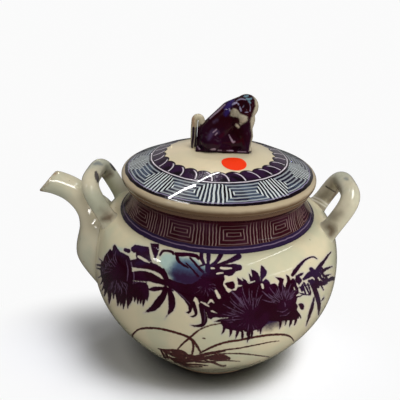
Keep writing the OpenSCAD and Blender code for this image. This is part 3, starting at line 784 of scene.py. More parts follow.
neck_glaze, tree, shader, coat = porcelain("neck_fret_glaze", cream, grey_green, iron_speck, 0.2)
at = place_group(tree, wheel)
off_band = calc(tree, "SUBTRACT", at["Height"], neck_band_z)
lines = fret_band(tree, at, off_band, radius=59.0, turn=10, panels=12, pitch=1.95, bar=3.0)
ground = over(tree, neck_ground, cloud(tree, 14, 2), 0.4, 0.62, neck_ground_grey)
strong = calc(tree, "MULTIPLY_ADD", lines["Upright"], 0.45, 0.35)
# The fret lines fade out towards the top, as painted shade under the lid's edge
strong = times(tree, strong, fall(tree, at["Height"], 117.5, 125.0))
fretted = over(tree, ground, lines["Nested"], 0.6, 0.84, neck_line, strong)
height = calc(tree, "ADD", at["Height"], waver(tree, 0.7, 5))
# The dark brown rim and the band of dark ground at the top of the waist are painted shade under the lid's
# edge
colour = mixed(tree, ring(tree, height, 110.9, 124.4), rim_painted_shade_brown, fretted)
for low, high, paint in ((123.2, 126.0, neck_ground), (100.0, 110.8, navy), (109.15, 109.6, neck_lilac)):
    colour = mixed(tree, ring(tree, height, low, high), colour, paint)
colour = mixed(tree, stored(tree, "outside"), coat["Colour"], colour)
feed(tree, shader.inputs["Base Color"], colour)
neck_collar.data.materials.append(neck_glaze)
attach(neck_collar, "pot")
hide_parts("neck_collar")


# Spout
# A hollow moulded spout with a broad base and a slanted lip, luted over the strainer holes.
# Plain cream glaze, thinner and browner along the lip where it ran off.
spout_wall = 3.5
spout_ribs = 112
spout_rows = 130
seat_up = 22.0
seat_down = 43.0
seat_half = 30.0
seat_z = belly_z + 11.6
seat_sink = 0.5
# Sections above the seat: under edge out and up, upper edge out and up from the belly line, and half width
spout_sections = [
    (12.6, -2.3, -8.4, 37.8, 22), (10.3, 22.7, -5.9, 40.2, 15.5), (12.6, 32.3, -0.4, 44.8, 11.5),
    (19.1, 39.3, 11.6, 53.6, 9.3), (27.6, 43.1, 20.6, 57.6, 8.2), (36.3, 44.6, 24.4, 58.5, 7.6)]
rib_turn = full_turn(spout_ribs)


def spout_ring(section, inset):
    """One closed section of the spout, drawn in by an inset."""
    under = np.array([-belly_r - section[0], 0, belly_z + section[1]])
    upper = np.array([-belly_r - section[2], 0, belly_z + section[3]])
    half = (upper - under) / 2
    points = (upper + under) / 2 + np.outer(np.sin(rib_turn), half * (1 - inset / np.linalg.norm(half)))
    points[:, 1] = (section[4] - inset) * np.cos(rib_turn)
    return points


def seat_ring(inset, sink):
    """The spout's edge on the body, sunk into its skin."""
    y = (seat_half - inset) * np.cos(rib_turn)
    reach = np.where(np.sin(rib_turn) > 0, seat_up - inset, seat_down - inset)
    z = seat_z + reach * np.sin(rib_turn)
    radius = skin_r(z) - sink
    return np.stack([-np.sqrt(radius ** 2 - y ** 2), y, z], 1)


def spout_skin(insets, seat_inset, rows):
    """Rings of the spout's wall from its seat to its lip."""
    knots = [seat_ring(seat_inset, seat_sink)]
    knots += [spout_ring(section, inset) for section, inset in zip(spout_sections, insets)]
    knots = np.array([2 * knots[0] - knots[1], *knots, 2 * knots[-1] - knots[-2]])
    rings = []
    for place in np.linspace(0, len(spout_sections), rows):
        span = min(int(place), len(spout_sections) - 1)
        rings.append(curve(*knots[span:span + 4], place - span))
    return rings


def lofted(name, rings, loop=False):
    """A closed skin over rings of points: joined into a loop, or capped at both ends."""
    rings = np.array(rings)
    count, ribs = rings.shape[:2]
    points = rings.reshape(-1, 3).tolist()
    rows = np.arange(count * ribs).reshape(count, ribs)
    faces = []
    for lower, upper in list(zip(rows, rows[1:])) + ([(rows[-1], rows[0])] if loop else []):
        faces += np.stack([lower, np.roll(lower, -1), np.roll(upper, -1), upper], 1).tolist()
    if not loop:
        for row, ring_points in ((rows[0], rings[0]), (rows[-1], rings[-1])):
            middle = len(points)
            points.append(ring_points.mean(0).tolist())
            faces += [(middle, a, b) for a, b in zip(row.tolist(), np.roll(row, -1).tolist())]
    made = bmesh.new()
    spots = [made.verts.new(np.array(p) * MM) for p in points]
    for face in faces:
        made.faces.new([spots[k] for k in face])
    bmesh.ops.recalc_face_normals(made, faces=made.faces)
    mesh = bpy.data.meshes.new(name)
    made.to_mesh(mesh)
    made.free()
    return shown(name, mesh, 50)


outer_rings = spout_skin([0] * len(spout_sections), 0, spout_rows)
inner_rings = spout_skin([spout_wall] * 4 + [0.8 * spout_wall] * 2, 6.0, 40)
lip_way = outer_rings[-1] - outer_rings[-2]
lip_way /= np.linalg.norm(lip_way, axis=1)[:, None]
lip_rings = []
for share in (0.12, 0.3, 0.5, 0.7, 0.88):
    round_off = math.sin(math.pi * share)
    lip_rings.append(outer_rings[-1] * (1 - share) + inner_rings[-1] * share + lip_way * 0.9 * round_off)
spout = lofted("spout_hollow", outer_rings + lip_rings + inner_rings[::-1], loop=True)
lip_rows = 14
spout_up = np.arange(len(spout.data.vertices)) // spout_ribs
near_lip = np.clip((spout_up - spout_rows + lip_rows) / lip_rows, 0, 1)
keep(spout, "lip", near_lip * (spout_up < spout_rows + 8))
keep(spout, "root", np.where(spout_up < spout_rows, np.exp(-spout_up / 3.0), 0.0))
lip_brown = tint(150, 120, 92)
joint_brown = tint(128, 116, 92)
spout_cream = tint(205, 195, 168)
spout_cool = tint(187, 186, 163)
spout_glaze, tree, shader, coat = porcelain("spout_glaze", spout_cream, spout_cool, iron_speck)
colour = over(tree, coat["Colour"], cloud(tree, 4, 3), 0.3, 0.7, lip_brown, stored(tree, "lip"))
colour = mixed(tree, times(tree, stored(tree, "root"), 0.75), colour, joint_brown)
feed(tree, shader.inputs["Base Color"], colour)
spout.data.materials.append(spout_glaze)
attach(spout, "pot")
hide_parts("spout")


# Lugs
# Two rolled strands of clay, each bent into a square arch and luted across the shoulder, for a bail handle.
# Cream glaze with a few loose dabs of cobalt and a brown bloom where the glaze ran thin, with painted shade
# on both lugs and a painted reflection on the rear one's crown.
lug_lean = np.array([0.55, 0, 1.0])
lug_lean /= np.linalg.norm(lug_lean)
lug_leg = 20.0
lug_bend = 3.8
lug_ribs = 56
lug_flare = 0.24
lug_flare_h = 2.2
lug_sizes = {
    "front_lug": {"crown": (81.77, 0, 127.2), "strand": 11.0, "spread": 21.6, "side": -1},
    "rear_lug": {"crown": (83.97, 0, 125.3), "strand": 11.8, "spread": 20.0, "side": 1}}


def strand_rings(path, across, radius, ribs, ends=None):
    """Rings of a round strand along a path, with the direction across it and, if given, those at its ends."""
    way = np.gradient(path, axis=0)
    if ends is not None:
        way[[0, -1]] = ends
    way /= np.linalg.norm(way, axis=1)[:, None]
    turn = full_turn(ribs)
    rings = []
    for spot, on in zip(path, way):
        out = np.cross(on, across)
        rings.append(spot + radius * (np.outer(np.cos(turn), out) + np.outer(np.sin(turn), across)))
    return rings


def lug_rings(crown, strand, spread, side):
    """Rings of a lug from the skin up one leg, over the arch and down the other."""
    crown = np.array(crown)
    foot = crown - lug_lean * lug_leg
    turn = np.linspace(0, math.pi, 3000)
    lift = np.sin(turn) ** (2 / lug_bend)
    swing = np.sign(np.cos(turn)) * np.abs(np.cos(turn)) ** (2 / lug_bend)
    arch = foot + np.outer(lift, crown - foot) + np.outer(-spread * swing, [0, 1, 0])
    run = np.concatenate([[0], np.cumsum(np.linalg.norm(np.diff(arch, axis=0), axis=1))])
    even = np.linspace(0, run[-1], 110)
    path = np.stack([np.interp(even, run, arch[:, k]) for k in range(3)], 1)
    across = np.array([-lug_lean[2], 0, lug_lean[0]])
    rings = strand_rings(path, across, strand / 2, lug_ribs, (lug_lean, -lug_lean))

    def leg(first, middle):
        """Rings from a foot of the arch down to the skin, flaring where the clay was pressed on."""
        spoke = first - middle
        spread_foot = middle + spoke * (1 + lug_flare)
        near, far = np.zeros(len(first)), np.full(len(first), 30.0)
        for _ in range(40):
            depth = (near + far) / 2
            spot = spread_foot - depth[:, None] * lug_lean
            outside = np.hypot(spot[:, 0], spot[:, 1]) > skin_r(spot[:, 2]) - 0.5
            near, far = np.where(outside, depth, near), np.where(outside, far, depth)
        leg_rows = []
        for share in np.linspace(0, 1, 26)[1:]:
            rest = (1 - share) * far[:, None]
            flare = 1 + lug_flare * np.exp(-rest / lug_flare_h)
            leg_rows.append(middle + spoke * flare - share * far[:, None] * lug_lean)
        return leg_rows

    rings = leg(rings[0], path[0])[::-1] + rings + leg(rings[-1], path[-1])
    return np.array(rings) * [side, 1, 1]


lug_cobalt = [
    [(110.5, 163.5, 2.4), (113, 166.5, 4), (115, 170, 2.4)],
    [(96, 172, 2.6), (96.6, 176, 4.6), (98, 181.5, 3)],
    [(326, 186.5, 2), (331, 189.5, 1.4), (335, 192, 1.4)]]
# A faint dab of cobalt on the front lug; the spot on the rear lug's crown is a painted reflection
lug_faint_and_reflection = [[(94.5, 164.3, 2.4), (98, 163.4, 3.4), (102, 164.6, 2)], [(345, 178.5, 2.5), (347, 179, 2.5)]]
# Brown blooms inside the front arch and at the lug feet; the strokes on the rear lug's far leg are painted
# shade
lug_bloom_and_shade = [
    [(104, 177.5, 5), (110, 174, 6)], [(103, 219.5, 5), (108, 218.5, 8), (111, 216, 6)],
    [(329, 227, 4), (332, 230, 6), (331, 234, 4)], [(330, 202, 5), (335, 194, 7), (338, 188, 5)],
    [(316, 204, 3), (321, 207, 5), (326, 211, 3)]]
# Painted shade near the front lug's foot and on the rear lug's near and far legs, and a wide pale brown bloom
# at the rear lug's foot
lug_shade_and_pale_bloom = [
    [(101, 209, 3), (105, 213, 7)], [(334, 217, 8), (340, 213, 4)],
    [(327, 226, 10), (332, 229, 12), (331, 235, 8)], [(316, 198, 8), (330, 195, 8)]]
# Two pale lines painted round the rear lug's far leg
lug_pale = [
    [(313, 196.5, 1), (320, 199.5, 1.6), (328, 205, 1.2)],
    [(312, 199, 1), (319, 202.5, 1.4), (327, 207.5, 1)]]
lug_brushwork = {
    "dab": lug_cobalt, "faint_and_reflection": lug_faint_and_reflection, "tan": lug_bloom_and_shade, "shade_and_pale_bloom": lug_shade_and_pale_bloom, "pale": lug_pale}
lug_edge_on = 0.05
lug_edge_fade = 30
lug_shade_and_pale_bloom_colour = tint(122, 113, 95)
lug_bloom_and_shade_brown = tint(92, 72, 54)
lug_grey_blue = tint(84, 96, 108)
lug_ink = tint(38, 24, 36)
lug_pale_line_colour = tint(226, 220, 206)

lug_glaze, tree, shader, coat = porcelain("lug_glaze", tint(202, 193, 167), tint(182, 182, 159), iron_speck)
mottle = waver(tree, 5.0, 4, 3)
colour = over(tree, coat["Colour"], unsteady(tree, "shade_and_pale_bloom", mottle), -6, 5, lug_shade_and_pale_bloom_colour, 0.65)
colour = over(tree, colour, unsteady(tree, "tan", mottle), -3.5, 4.5, lug_bloom_and_shade_brown, 0.85)
colour = over(tree, colour, unsteady(tree, "faint_and_reflection", mottle, 0.4), -1.6, 1.6, lug_grey_blue, 0.7)
colour = over(tree, colour, unsteady(tree, "dab", waver(tree, 1.6, 1.6)), -0.6, 0.8, lug_ink, 0.92)
colour = over(tree, colour, stored(tree, "pale"), -0.6, 0.5, lug_pale_line_colour, 0.7)
feed(tree, shader.inputs["Base Color"], colour)
lugs = {}
for node, sizes in lug_sizes.items():
    lug = lofted(node.replace("lug", "lug_arch"), lug_rings(**sizes))
    px, facing = photo_place(*places(lug))
    lay(lug, px, lug_brushwork, (facing - lug_edge_on) * lug_edge_fade)
    lug.data.materials.append(lug_glaze)
    lugs[node] = lug
    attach(lug, "pot")
    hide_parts(node)


# Lid
# A thrown disc with a low dome and a rounded edge, pierced by a small steam vent behind the finial.
# Painted from the middle out: bare disc, a ring of overlapping scallops, a white ring and a band of fret.
lid_seat_r = 22.0
lid_seat_z = 147.5
lid_ring_r = 45.4
lid_ring_z = 141.25
lid_edge_r = 60.0
lid_edge_z = 135.0


def lid_z(r):
    """Height of the lid's upper side at a radius."""
    sunk = np.clip((r - lid_seat_r) / (lid_ring_r - lid_seat_r), 0, 1) ** 1.25
    dome = lid_seat_z - (lid_seat_z - lid_ring_z) * sunk
    slope = (lid_edge_z - lid_ring_z) / (lid_edge_r - lid_ring_r)
    return np.where(r < lid_ring_r, dome, lid_ring_z + (r - lid_ring_r) * slope)


lid_edge = [
    (lid_edge_r, lid_edge_z), (61.0, 134.6), (61.8, 134.0), (62.4, 133.0), (62.6, 131.9), (62.45, 130.6),
    (62.0, 129.6), (61.4, 128.9), (60.8, 128.5)]
lid_rows = [0.0, 11.0, *np.linspace(lid_seat_r, lid_ring_r, 26), *np.linspace(lid_ring_r + 1, 59.3, 12)]
lid_profile = [(r, float(lid_z(r))) for r in lid_rows] + [tuple(p) for p in brush_path(lid_edge, 3)]
lid_profile += [(46.4, rim_top), (45.0, 131.4), (43.4, 134.25), (33, 137.2), (lid_seat_r, 139.5), (0, 140.5)]
lid_plate = turned("lid_disc", lid_profile, 480)
vent_d = 3.0
pierced(lid_plate, [((0, lid_seat_r + 6, 143), (0, 0, 1), vent_d, 20)])
lid_points, lid_normals = places(lid_plate)
keep(lid_plate, "upper", (lid_normals[:, 2] > 0.05) & (lid_points[:, 2] > 134.2))

lid_band_r = 51.2
scallops = 27
scallop_r = 40.0
scallop_foot = 42.4
scallop_h = 8.6
scallop_pitch = 2 * math.pi * scallop_r / scallops
scallop_half = 0.78 * scallop_pitch
# The lid's cream is warmer than the body's, and made lighter as painted light on the lid's upper side
lid_cream_painted_lighter = tint(230, 212, 177)
lid_cool_painted_lighter = tint(218, 205, 173)
edge_buff = tint(174, 158, 130)
edge_painted_shade_brown = tint(96, 74, 53)
black_ink = tint(16, 4, 14)
cell_indigo = tint(46, 20, 52)
band_blue = tint(74, 88, 110)
band_dark = tint(34, 34, 58)
pale_line = tint(212, 219, 218)
ring_white = tint(214, 204, 212)
ring_lilac = tint(140, 128, 158)

lid_glaze, tree, shader, coat = porcelain("lid_painted_glaze", lid_cream_painted_lighter, lid_cool_painted_lighter, iron_speck)
at = place_group(tree, wheel)
wobble = waver(tree, 0.9, 7)
radius = calc(tree, "ADD", at["Radius"], wobble)
off_band = calc(tree, "SUBTRACT", at["Radius"], lid_band_r)
lines = fret_band(tree, at, off_band, radius=lid_band_r, turn=18, panels=9, pitch=2.2, bar=5.6)
patch = rise(tree, cloud(tree, 12, 2), 0.42, 0.6)
level_ground = mixed(tree, patch, band_dark, band_blue)
upright_ground = mixed(tree, times(tree, patch, 0.35), black_ink, band_blue)
ground = mixed(tree, lines["Upright"], level_ground, upright_ground)
strong = calc(tree, "MULTIPLY_ADD", lines["Upright"], 0.5, 0.42)
banded = mixed(tree, times(tree, lines["Edge"], 0.8), ground, black_ink)
banded = mixed(tree, times(tree, lines["Line"], strong), banded, pale_line)

lobe_side = calc(tree, "WRAP", times(tree, at["Turn"], scallop_r), scallop_pitch / 2, -scallop_pitch / 2)
lobe_up = calc(tree, "DIVIDE", calc(tree, "SUBTRACT", scallop_foot, radius), scallop_h)
up_part = calc(tree, "POWER", calc(tree, "ABSOLUTE", lobe_up), 2.4)
lobe_fill = over(tree, cell_indigo, cloud(tree, 6, 1), 0.5, 0.7, black_ink)
colour = coat["Colour"]
# Each scallop lies over the one to its right, so the right one is laid first
for shift in (0, scallop_pitch):
    off_middle = calc(tree, "DIVIDE", calc(tree, "ADD", lobe_side, shift), scallop_half)
    reach = calc(tree, "SQRT", calc(tree, "MULTIPLY_ADD", off_middle, off_middle, up_part))
    lobe_deep = times(tree, calc(tree, "SUBTRACT", 1.0, reach), 6.5)
    lit = times(tree, ring(tree, lobe_deep, 0.8, 1.5, 0.2), rise(tree, off_middle, 0.1, 0.45))
    lobe = mixed(tree, lit, lobe_fill, ring_white)
    lobe = mixed(tree, ring(tree, lobe_deep, -1, 0.8, 0.15), lobe, black_ink)
    colour = over(tree, colour, lobe_deep, -0.1, 0.15, lobe, rise(tree, radius, 30, 33))
colour = over(tree, colour, radius, scallop_foot - 0.2, scallop_foot + 0.1, black_ink)
colour = mixed(tree, ring(tree, radius, 43.05, 43.75), colour, ring_white)
colour = over(tree, colour, radius, 44.5, 44.8, banded)
colour = mixed(tree, ring(tree, radius, 57.75, 58.2), colour, ring_lilac)
colour = over(tree, colour, radius, 58.25, 58.6, black_ink)
colour = over(tree, colour, radius, 60.1, 60.5, edge_buff)
# The lid's edge darkens to brown towards its bottom, as painted shade under its overhang
under_edge_with_painted_shade = over(tree, edge_painted_shade_brown, calc(tree, "ADD", at["Height"], wobble), 131.0, 133.8, edge_buff)
colour = mixed(tree, stored(tree, "upper"), under_edge_with_painted_shade, colour)
feed(tree, shader.inputs["Base Color"], colour)
lid_plate.data.materials.append(lid_glaze)
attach(lid_plate, "lid")
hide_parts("lid_plate")


# Lid flange
# A thrown ring under the lid that drops into the neck and keeps the lid from sliding.
# Left unglazed so that lid and pot don't fire together: pale biscuit with fine turning lines.
flange_out = 51.2
flange_in = 47.2
flange_foot = 116.5
flange_profile = [(flange_in, rim_top), (flange_out, rim_top)]
flange_profile += [(flange_out - 0.05 * (k % 2), rim_top - 0.6 * k) for k in range(1, 19)]
flange_profile += [
    (flange_out - 0.3, flange_foot + 0.5), (flange_out - 0.9, flange_foot), (flange_in + 0.9, flange_foot),
    (flange_in + 0.3, flange_foot + 0.5), (flange_in, flange_foot + 1.2)]
lid_flange = turned("lid_flange_ring", flange_profile, 240, closed=True)
biscuit = tint(196, 176, 146)
biscuit_stain = tint(168, 142, 110)
bare_clay, tree, shader = new_material("bare_biscuit")
grain = cloud(tree, 0.5, 3)
feed(tree, shader.inputs["Base Color"], over(tree, biscuit, cloud(tree, 8, 3), 0.4, 0.7, biscuit_stain))
feed(tree, shader.inputs["Roughness"], calc(tree, "MULTIPLY_ADD", grain, 0.2, 0.65))
bumped(tree, shader, grain, 0.2)
lid_flange.data.materials.append(bare_clay)
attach(lid_flange, "lid")
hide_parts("lid_flange")


# Paper dot
# A round dot of bright orange paper, 15 mm across, stuck on the lid in front of the finial.
# Matt, with fine fibres and a faint lift along its edge.
dot_middle = np.array([9.0, -24.0])
dot_r = 7.5
dot_turn = full_turn(96)
# Rings of the dot from its middle over its edge and back below: distance out and height over the lid
dot_steps = [
    (0.4, 0.22), (1.5, 0.22), (3, 0.22), (4.5, 0.22), (6, 0.22), (7, 0.23), (7.4, 0.26), (dot_r, 0.22),
    (dot_r, 0.1), (7.3, 0.02), (5, -0.02), (2, -0.02)]
dot_rings = []
for reach, lift in dot_steps:
    spots = dot_middle + reach * np.stack([np.cos(dot_turn), np.sin(dot_turn)], 1)
    dot_rings.append(np.column_stack([spots, lid_z(np.linalg.norm(spots, axis=1)) + lift]))
paper_dot = lofted("paper_dot_orange", dot_rings)
dot_paper, tree, shader = new_material("orange_paper")
fibre = cloud(tree, 0.35, 4, 0.7)
feed(tree, shader.inputs["Base Color"], over(tree, tint(236, 46, 0), fibre, 0.3, 0.7, tint(240, 56, 0)))
feed(tree, shader.inputs["Roughness"], calc(tree, "MULTIPLY_ADD", fibre, 0.15, 0.6))
bumped(tree, shader, fibre, 0.06)
paper_dot.data.materials.append(dot_paper)
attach(paper_dot, "lid")
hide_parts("paper_dot")


# Lion finial
# A seated lion of solid porcelain, pressed in a mould and luted on the lid, its head turned to the front.
# Dipped in cobalt that fired nearly black, with bare cream cheeks, chest and tail.
lion_grain = 0.45
lion_seat = Vector((0, 0, lid_seat_z))
# A lump runs from one ball to another: two middles, then two radii
body_lumps = [
    ((-4.5, 0, 10), (6.5, 0, 23.2), 9.4, 8), ((6.5, 0, 23.2), (13, 0, 27.4), 8, 6.9),
    ((12.6, 0, 9), (12.2, 0, 17), 8.2, 7.4), ((-4, 0, 7), (12, 0, 8), 8.2, 8),
    ((-9, 0, 3.5), (-9, 0, 12), 5.2, 5.2)]
# A thin ridge of clay at the tail's root, then haunches, hind feet, forelegs and forefeet with their toes
body_lumps += [((-13.3, 0, 2.4), (-12.9, 0, 16.6), 1.6, 1.4)]
for s in (-1, 1):
    body_lumps += [
        ((-6, 5 * s, 7), (-3, 5.5 * s, 6), 6.6, 5), ((1, 7 * s, 2.6), (5, 7.4 * s, 2.4), 2.6, 2.4),
        ((14.5, 4.6 * s, 12), (16, 4.8 * s, 2.8), 4.4, 3.6),
        ((16.2, 4.8 * s, 2.4), (18, 4.8 * s, 2.3), 2.7, 2.5)]
    for toe in (-1.5, 0, 1.5):
        body_lumps += [
            ((18.6, 4.8 * s + toe, 1.9), (19.4, 4.8 * s + toe, 1.6), 1.3, 1.0),
            ((5.6, 7.4 * s + 0.8 * toe, 1.9), (6.6, 7.4 * s + 0.8 * toe, 1.6), 1.2, 0.9)]
body_slab = ((1.75, 0, 1.0), (33.5, 17, 2.0))
# Skull, throat, muzzle, brow and ears, then a row of curls down the near cheek and the mane behind
head_lumps = [
    ((11, 0, 22.6), (15.2, -0.6, 28), 8.4, 7.6), ((14.5, -1, 20), (13.6, -1, 15), 6.8, 6.4),
    ((14, -6, 24.5), (13.4, -8, 23.2), 4.8, 3.8), ((11.4, -4.6, 32.4), (18, -4, 32.8), 1.9, 1.9),
    ((8.5, -5.2, 30), (6.8, -6.2, 27.4), 2.6, 1.8), ((18.4, 3.6, 31.4), (20, 3.4, 28.6), 2.4, 1.8)]
for k in range(5):
    curl = np.array([8 + 0.3 * k, -6.9 + 0.1 * k, 27.6 - 2.2 * k])
    head_lumps += [(curl, curl + (0.3, 0.1, -0.4), 2.1, 2.1)]
mane_middle = np.array([11.5, 0, 24.0])
mane_r = 7.6
for row, lift in enumerate((38, 8, -20)):
    for place in range(5):
        side = math.radians(-62 + 31 * place + 15 * (row % 2))
        up = math.radians(lift)
        way = np.array([math.sin(side) * math.cos(up), math.cos(side) * math.cos(up), math.sin(up)])
        curl = mane_middle + mane_r * way
        head_lumps += [(curl, curl + (0, 0, -0.8), 2.2, 2.0)]


def modelled(name, lumps, slab=None):
    """Lumps of clay pressed together and smoothed into one skin."""
    clay = bmesh.new()
    for first, second, first_r, second_r in lumps:
        lump = bmesh.new()
        for middle, size in ((first, first_r), (second, second_r)):
            place = Matrix.Translation((Vector(middle) + lion_seat) * MM)
            bmesh.ops.create_icosphere(lump, subdivisions=3, radius=size * MM, matrix=place)
        hull = bmesh.ops.convex_hull(lump, input=lump.verts)
        spare = [g for g in hull["geom_interior"] + hull["geom_unused"] if isinstance(g, bmesh.types.BMVert)]
        bmesh.ops.delete(lump, geom=spare, context="VERTS")
        part = bpy.data.meshes.new("lump")
        lump.to_mesh(part)
        lump.free()
        clay.from_mesh(part)
        bpy.data.meshes.remove(part)
    if slab:
        middle, size = slab
        place = Matrix.Translation((Vector(middle) + lion_seat) * MM)
        bmesh.ops.create_cube(clay, size=1, matrix=place @ Matrix.Diagonal((*[s * MM for s in size], 1)))
    mesh = bpy.data.meshes.new(name)
    clay.to_mesh(mesh)
    clay.free()
    piece = shown(name, mesh)
    settled(piece, ("REMESH", {"mode": "VOXEL", "voxel_size": lion_grain * MM}),
        ("SMOOTH", {"iterations": 5, "factor": 0.5}))
    piece.data.polygons.foreach_set("use_smooth", [True] * len(piece.data.polygons))
    return piece


lion_body = modelled("lion_seated_body", body_lumps, body_slab)
lion_head = modelled("lion_turned_head", head_lumps)

# The tail goes up, bends over like a hairpin and runs down to the back
tail_r = 2.0
tail_bend = 2.15
tail_x = -16.3
tail_top = 18.0
bend_from, bend_to = 0.4, 0.8
tail_path = []
for t in np.linspace(0, 1, 140):
    if t < bend_from:
        u = t / bend_from
        tail_path.append((tail_x - 0.4 * math.sin(math.pi * u), 0, tail_top * u))
    elif t < bend_to:
        a = math.pi * (1 - (t - bend_from) / (bend_to - bend_from))
        tail_path.append((tail_x + tail_bend * (1 + math.cos(a)), 0, tail_top + tail_bend * math.sin(a)))
    else:
        u = (t - bend_to) / (1 - bend_to)
        tail_path.append((tail_x + 2 * tail_bend + 1.8 * u, 0, tail_top - 3.8 * u))
tail_path = np.array(tail_path) + [0, 0, lid_seat_z]
lion_tail = lofted("lion_curled_tail", strand_rings(tail_path, [0, 1, 0], tail_r, 28))

lion_cream = [
    [(253, 96), (255, 100), (255.5, 106), (253, 113), (250.5, 121), (251, 128), (252, 136), (250.5, 143),
     (249, 151), (262, 151), (266, 120), (264, 92), (253, 92)],
    [(230.5, 110.5), (233, 108.8), (236.5, 108.6), (238.5, 111.5), (240.5, 114), (244, 115.2),
     (247.5, 116.8), (247.3, 120), (245.5, 122), (243, 123.6), (240.8, 125), (239.3, 123), (239.6, 119.5),
     (237.5, 117), (233, 116.6), (230.6, 115.6)],
    [(195.5, 112), (203, 112), (202.5, 119), (199.5, 126), (195.5, 127)]]
lion_cream += [[(236.5, 125, 2.4), (238.3, 126.8, 2.6)]]
lion_white = [
    [(236.8, 100.6, 0.6), (239.5, 99.4, 1), (243, 99, 1), (245.5, 99.8, 0.6)],
    [(232.6, 104.6, 1.4), (234.4, 103.4, 2), (236.6, 102.6, 1.4)], [(238, 103.6, 0.8), (238.8, 105, 0.8)],
    [(239.8, 107, 1.2), (240.4, 109, 1.8), (241, 110.8, 1.4)], [(242.8, 107.2, 0.5), (244.2, 105.2, 0.7)],
    [(249.8, 104, 0.4), (250.4, 107.5, 0.5), (250, 111, 0.4)], [(245, 112.3, 0.4), (248, 112.3, 0.5)],
    [(229.4, 109, 1.4), (230, 110.4, 1.6)]]
# Lilac marks; the first stroke, along the ridge of the back, is a painted highlight
lion_lilac_and_highlight = [
    [(210, 118.4, 0.8), (213.5, 115, 1.2), (218.5, 110.8, 1.4), (222.5, 106.8, 1.2), (225, 104.4, 0.8)],
    [(229, 135, 0.8), (230.5, 138, 1.2), (233, 142, 2), (234.8, 141.5, 1.2)],
    [(197.5, 146.5, 1.2), (199.5, 149, 1.4)], [(211, 149.5, 1.4), (215, 149.3, 1.8)],
    [(218, 150.3, 0.8), (221, 150.4, 0.8)], [(227, 150.6, 0.8), (233, 150.7, 1)],
    [(238, 151.6, 0.6), (246, 151.8, 0.8)], [(213, 132.5, 0.8), (216.5, 129.5, 1)],
    [(215, 135, 0.8), (217, 133, 0.8)]]
lion_eyes = [[(235.8, 107, 3.2), (237.6, 107.8, 3.4)], [(245.2, 103.6, 4.4), (246.6, 107, 4.6)]]
lion_blue = [
    [(244.5, 96.5, 1.4), (247.5, 95.8, 1.8)], [(246.5, 98.5, 1.8), (249, 99.5, 2.6), (251, 98.5, 1.4)],
    [(248.8, 101.5, 1.6), (250.4, 102.8, 1.2)]]
lion_indigo = [[(226, 108, 4), (230, 104, 6), (232, 101, 5)], [(226, 114, 4), (228, 110, 5)]]
# Painted sheen, a faint mauve, on the lion's side
lion_painted_sheen = [
    [(209, 139, 3), (211, 134, 4), (214, 131.5, 5), (218, 132, 3)], [(214, 122, 2), (217, 120, 2)]]
lion_dark = tint(36, 5, 12)
lion_dark_blue = tint(34, 8, 28)
lion_speck = tint(70, 40, 60)
# Kinds of brushwork in the order they are laid: shapes, softness in pixels, strength and colour
lion_brushwork = {
    "painted_sheen": (lion_painted_sheen, 2.0, 0.4, tint(84, 68, 100)),
    "indigo": (lion_indigo, 2.0, 0.75, tint(44, 34, 92)),
    "blue": (lion_blue, 1.0, 0.75, tint(110, 144, 158)),
    "cream": (lion_cream, 1.1, 1.0, tint(160, 150, 130)),
    "white": (lion_white, 0.7, 0.65, tint(166, 160, 188)),
    "lilac": (lion_lilac_and_highlight, 0.7, 0.8, tint(160, 136, 152)),
    "eyes": (lion_eyes, 0.8, 0.9, tint(26, 6, 12))}

lion_glaze, tree, shader, coat = porcelain("lion_cobalt_glaze", lion_dark, lion_dark_blue, lion_speck, 0.25)
grain = waver(tree, 2.4, 1.2)
colour = coat["Colour"]
for name, (shapes, soft, share, paint) in lion_brushwork.items():
    colour = over(tree, colour, unsteady(tree, name, grain, 0.5 * soft), -soft, soft, paint, share)
feed(tree, shader.inputs["Base Color"], colour)


def mirrored_place(piece):
    """Photograph pixels of a finial piece; its far side is painted like the near one."""
    points, normals = places(piece)
    flip = np.where(points[:, 1:2] > 0.8, [[1, -1, 1]], [[1, 1, 1]])
    return photo_place(points * flip, normals * flip)[0]


for piece in (lion_body, lion_head):
    lay(piece, mirrored_place(piece), {name: kind[0] for name, kind in lion_brushwork.items()})
    piece.data.materials.append(lion_glaze)

tail_dark = [
    [(193.5, 128, 2.5), (193, 138, 2.5), (191.5, 147, 3)],
    [(196.5, 128, 1.6), (196, 136, 1.8), (195, 146, 2)]]
tail_brown = [[(192.5, 116, 3), (193, 121, 4), (193.5, 126, 3)]]
tail_cream = tint(204, 190, 164)
tail_cool = tint(180, 172, 146)
tail_glaze, tree, shader, coat = porcelain("lion_tail_glaze", tail_cream, tail_cool, iron_speck)
colour = over(tree, coat["Colour"], stored(tree, "brown"), -2, 2, tint(150, 108, 80), 0.7)
colour = over(tree, colour, stored(tree, "dark"), -0.8, 0.6, tint(34, 14, 34))
feed(tree, shader.inputs["Base Color"], colour)
lay(lion_tail, mirrored_place(lion_tail), {"dark": tail_dark, "brown": tail_brown})
lion_tail.data.materials.append(tail_glaze)
for piece, node in ((lion_body, "lion_body"), (lion_head, "lion_head"), (lion_tail, "lion_tail")):
    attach(piece, "lid")
    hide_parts(node)


# Studio
# A plain white floor under a white background, lit softly from the right above the camera.
background_white = 0.96
floor_mesh = bpy.data.meshes.new("floor")
floor_mesh.from_pydata([(-2, -2, 0), (2, -2, 0), (2, 2, 0), (-2, 2, 0)], [], [(0, 1, 2, 3)])
floor = bpy.data.objects.new("floor", floor_mesh)
scene.collection.objects.link(floor)
floor_white, tree, shader = new_material("floor_white")
shader.inputs["Roughness"].default_value = 0.9
shader.inputs["Specular IOR Level"].default_value = 0.0
rays = tree.nodes.new("ShaderNodeLightPath")
for_light = mixed(tree, rays.outputs["Is Glossy Ray"], (0.5, 0.5, 0.5, 1), (0.06, 0.06, 0.06, 1))
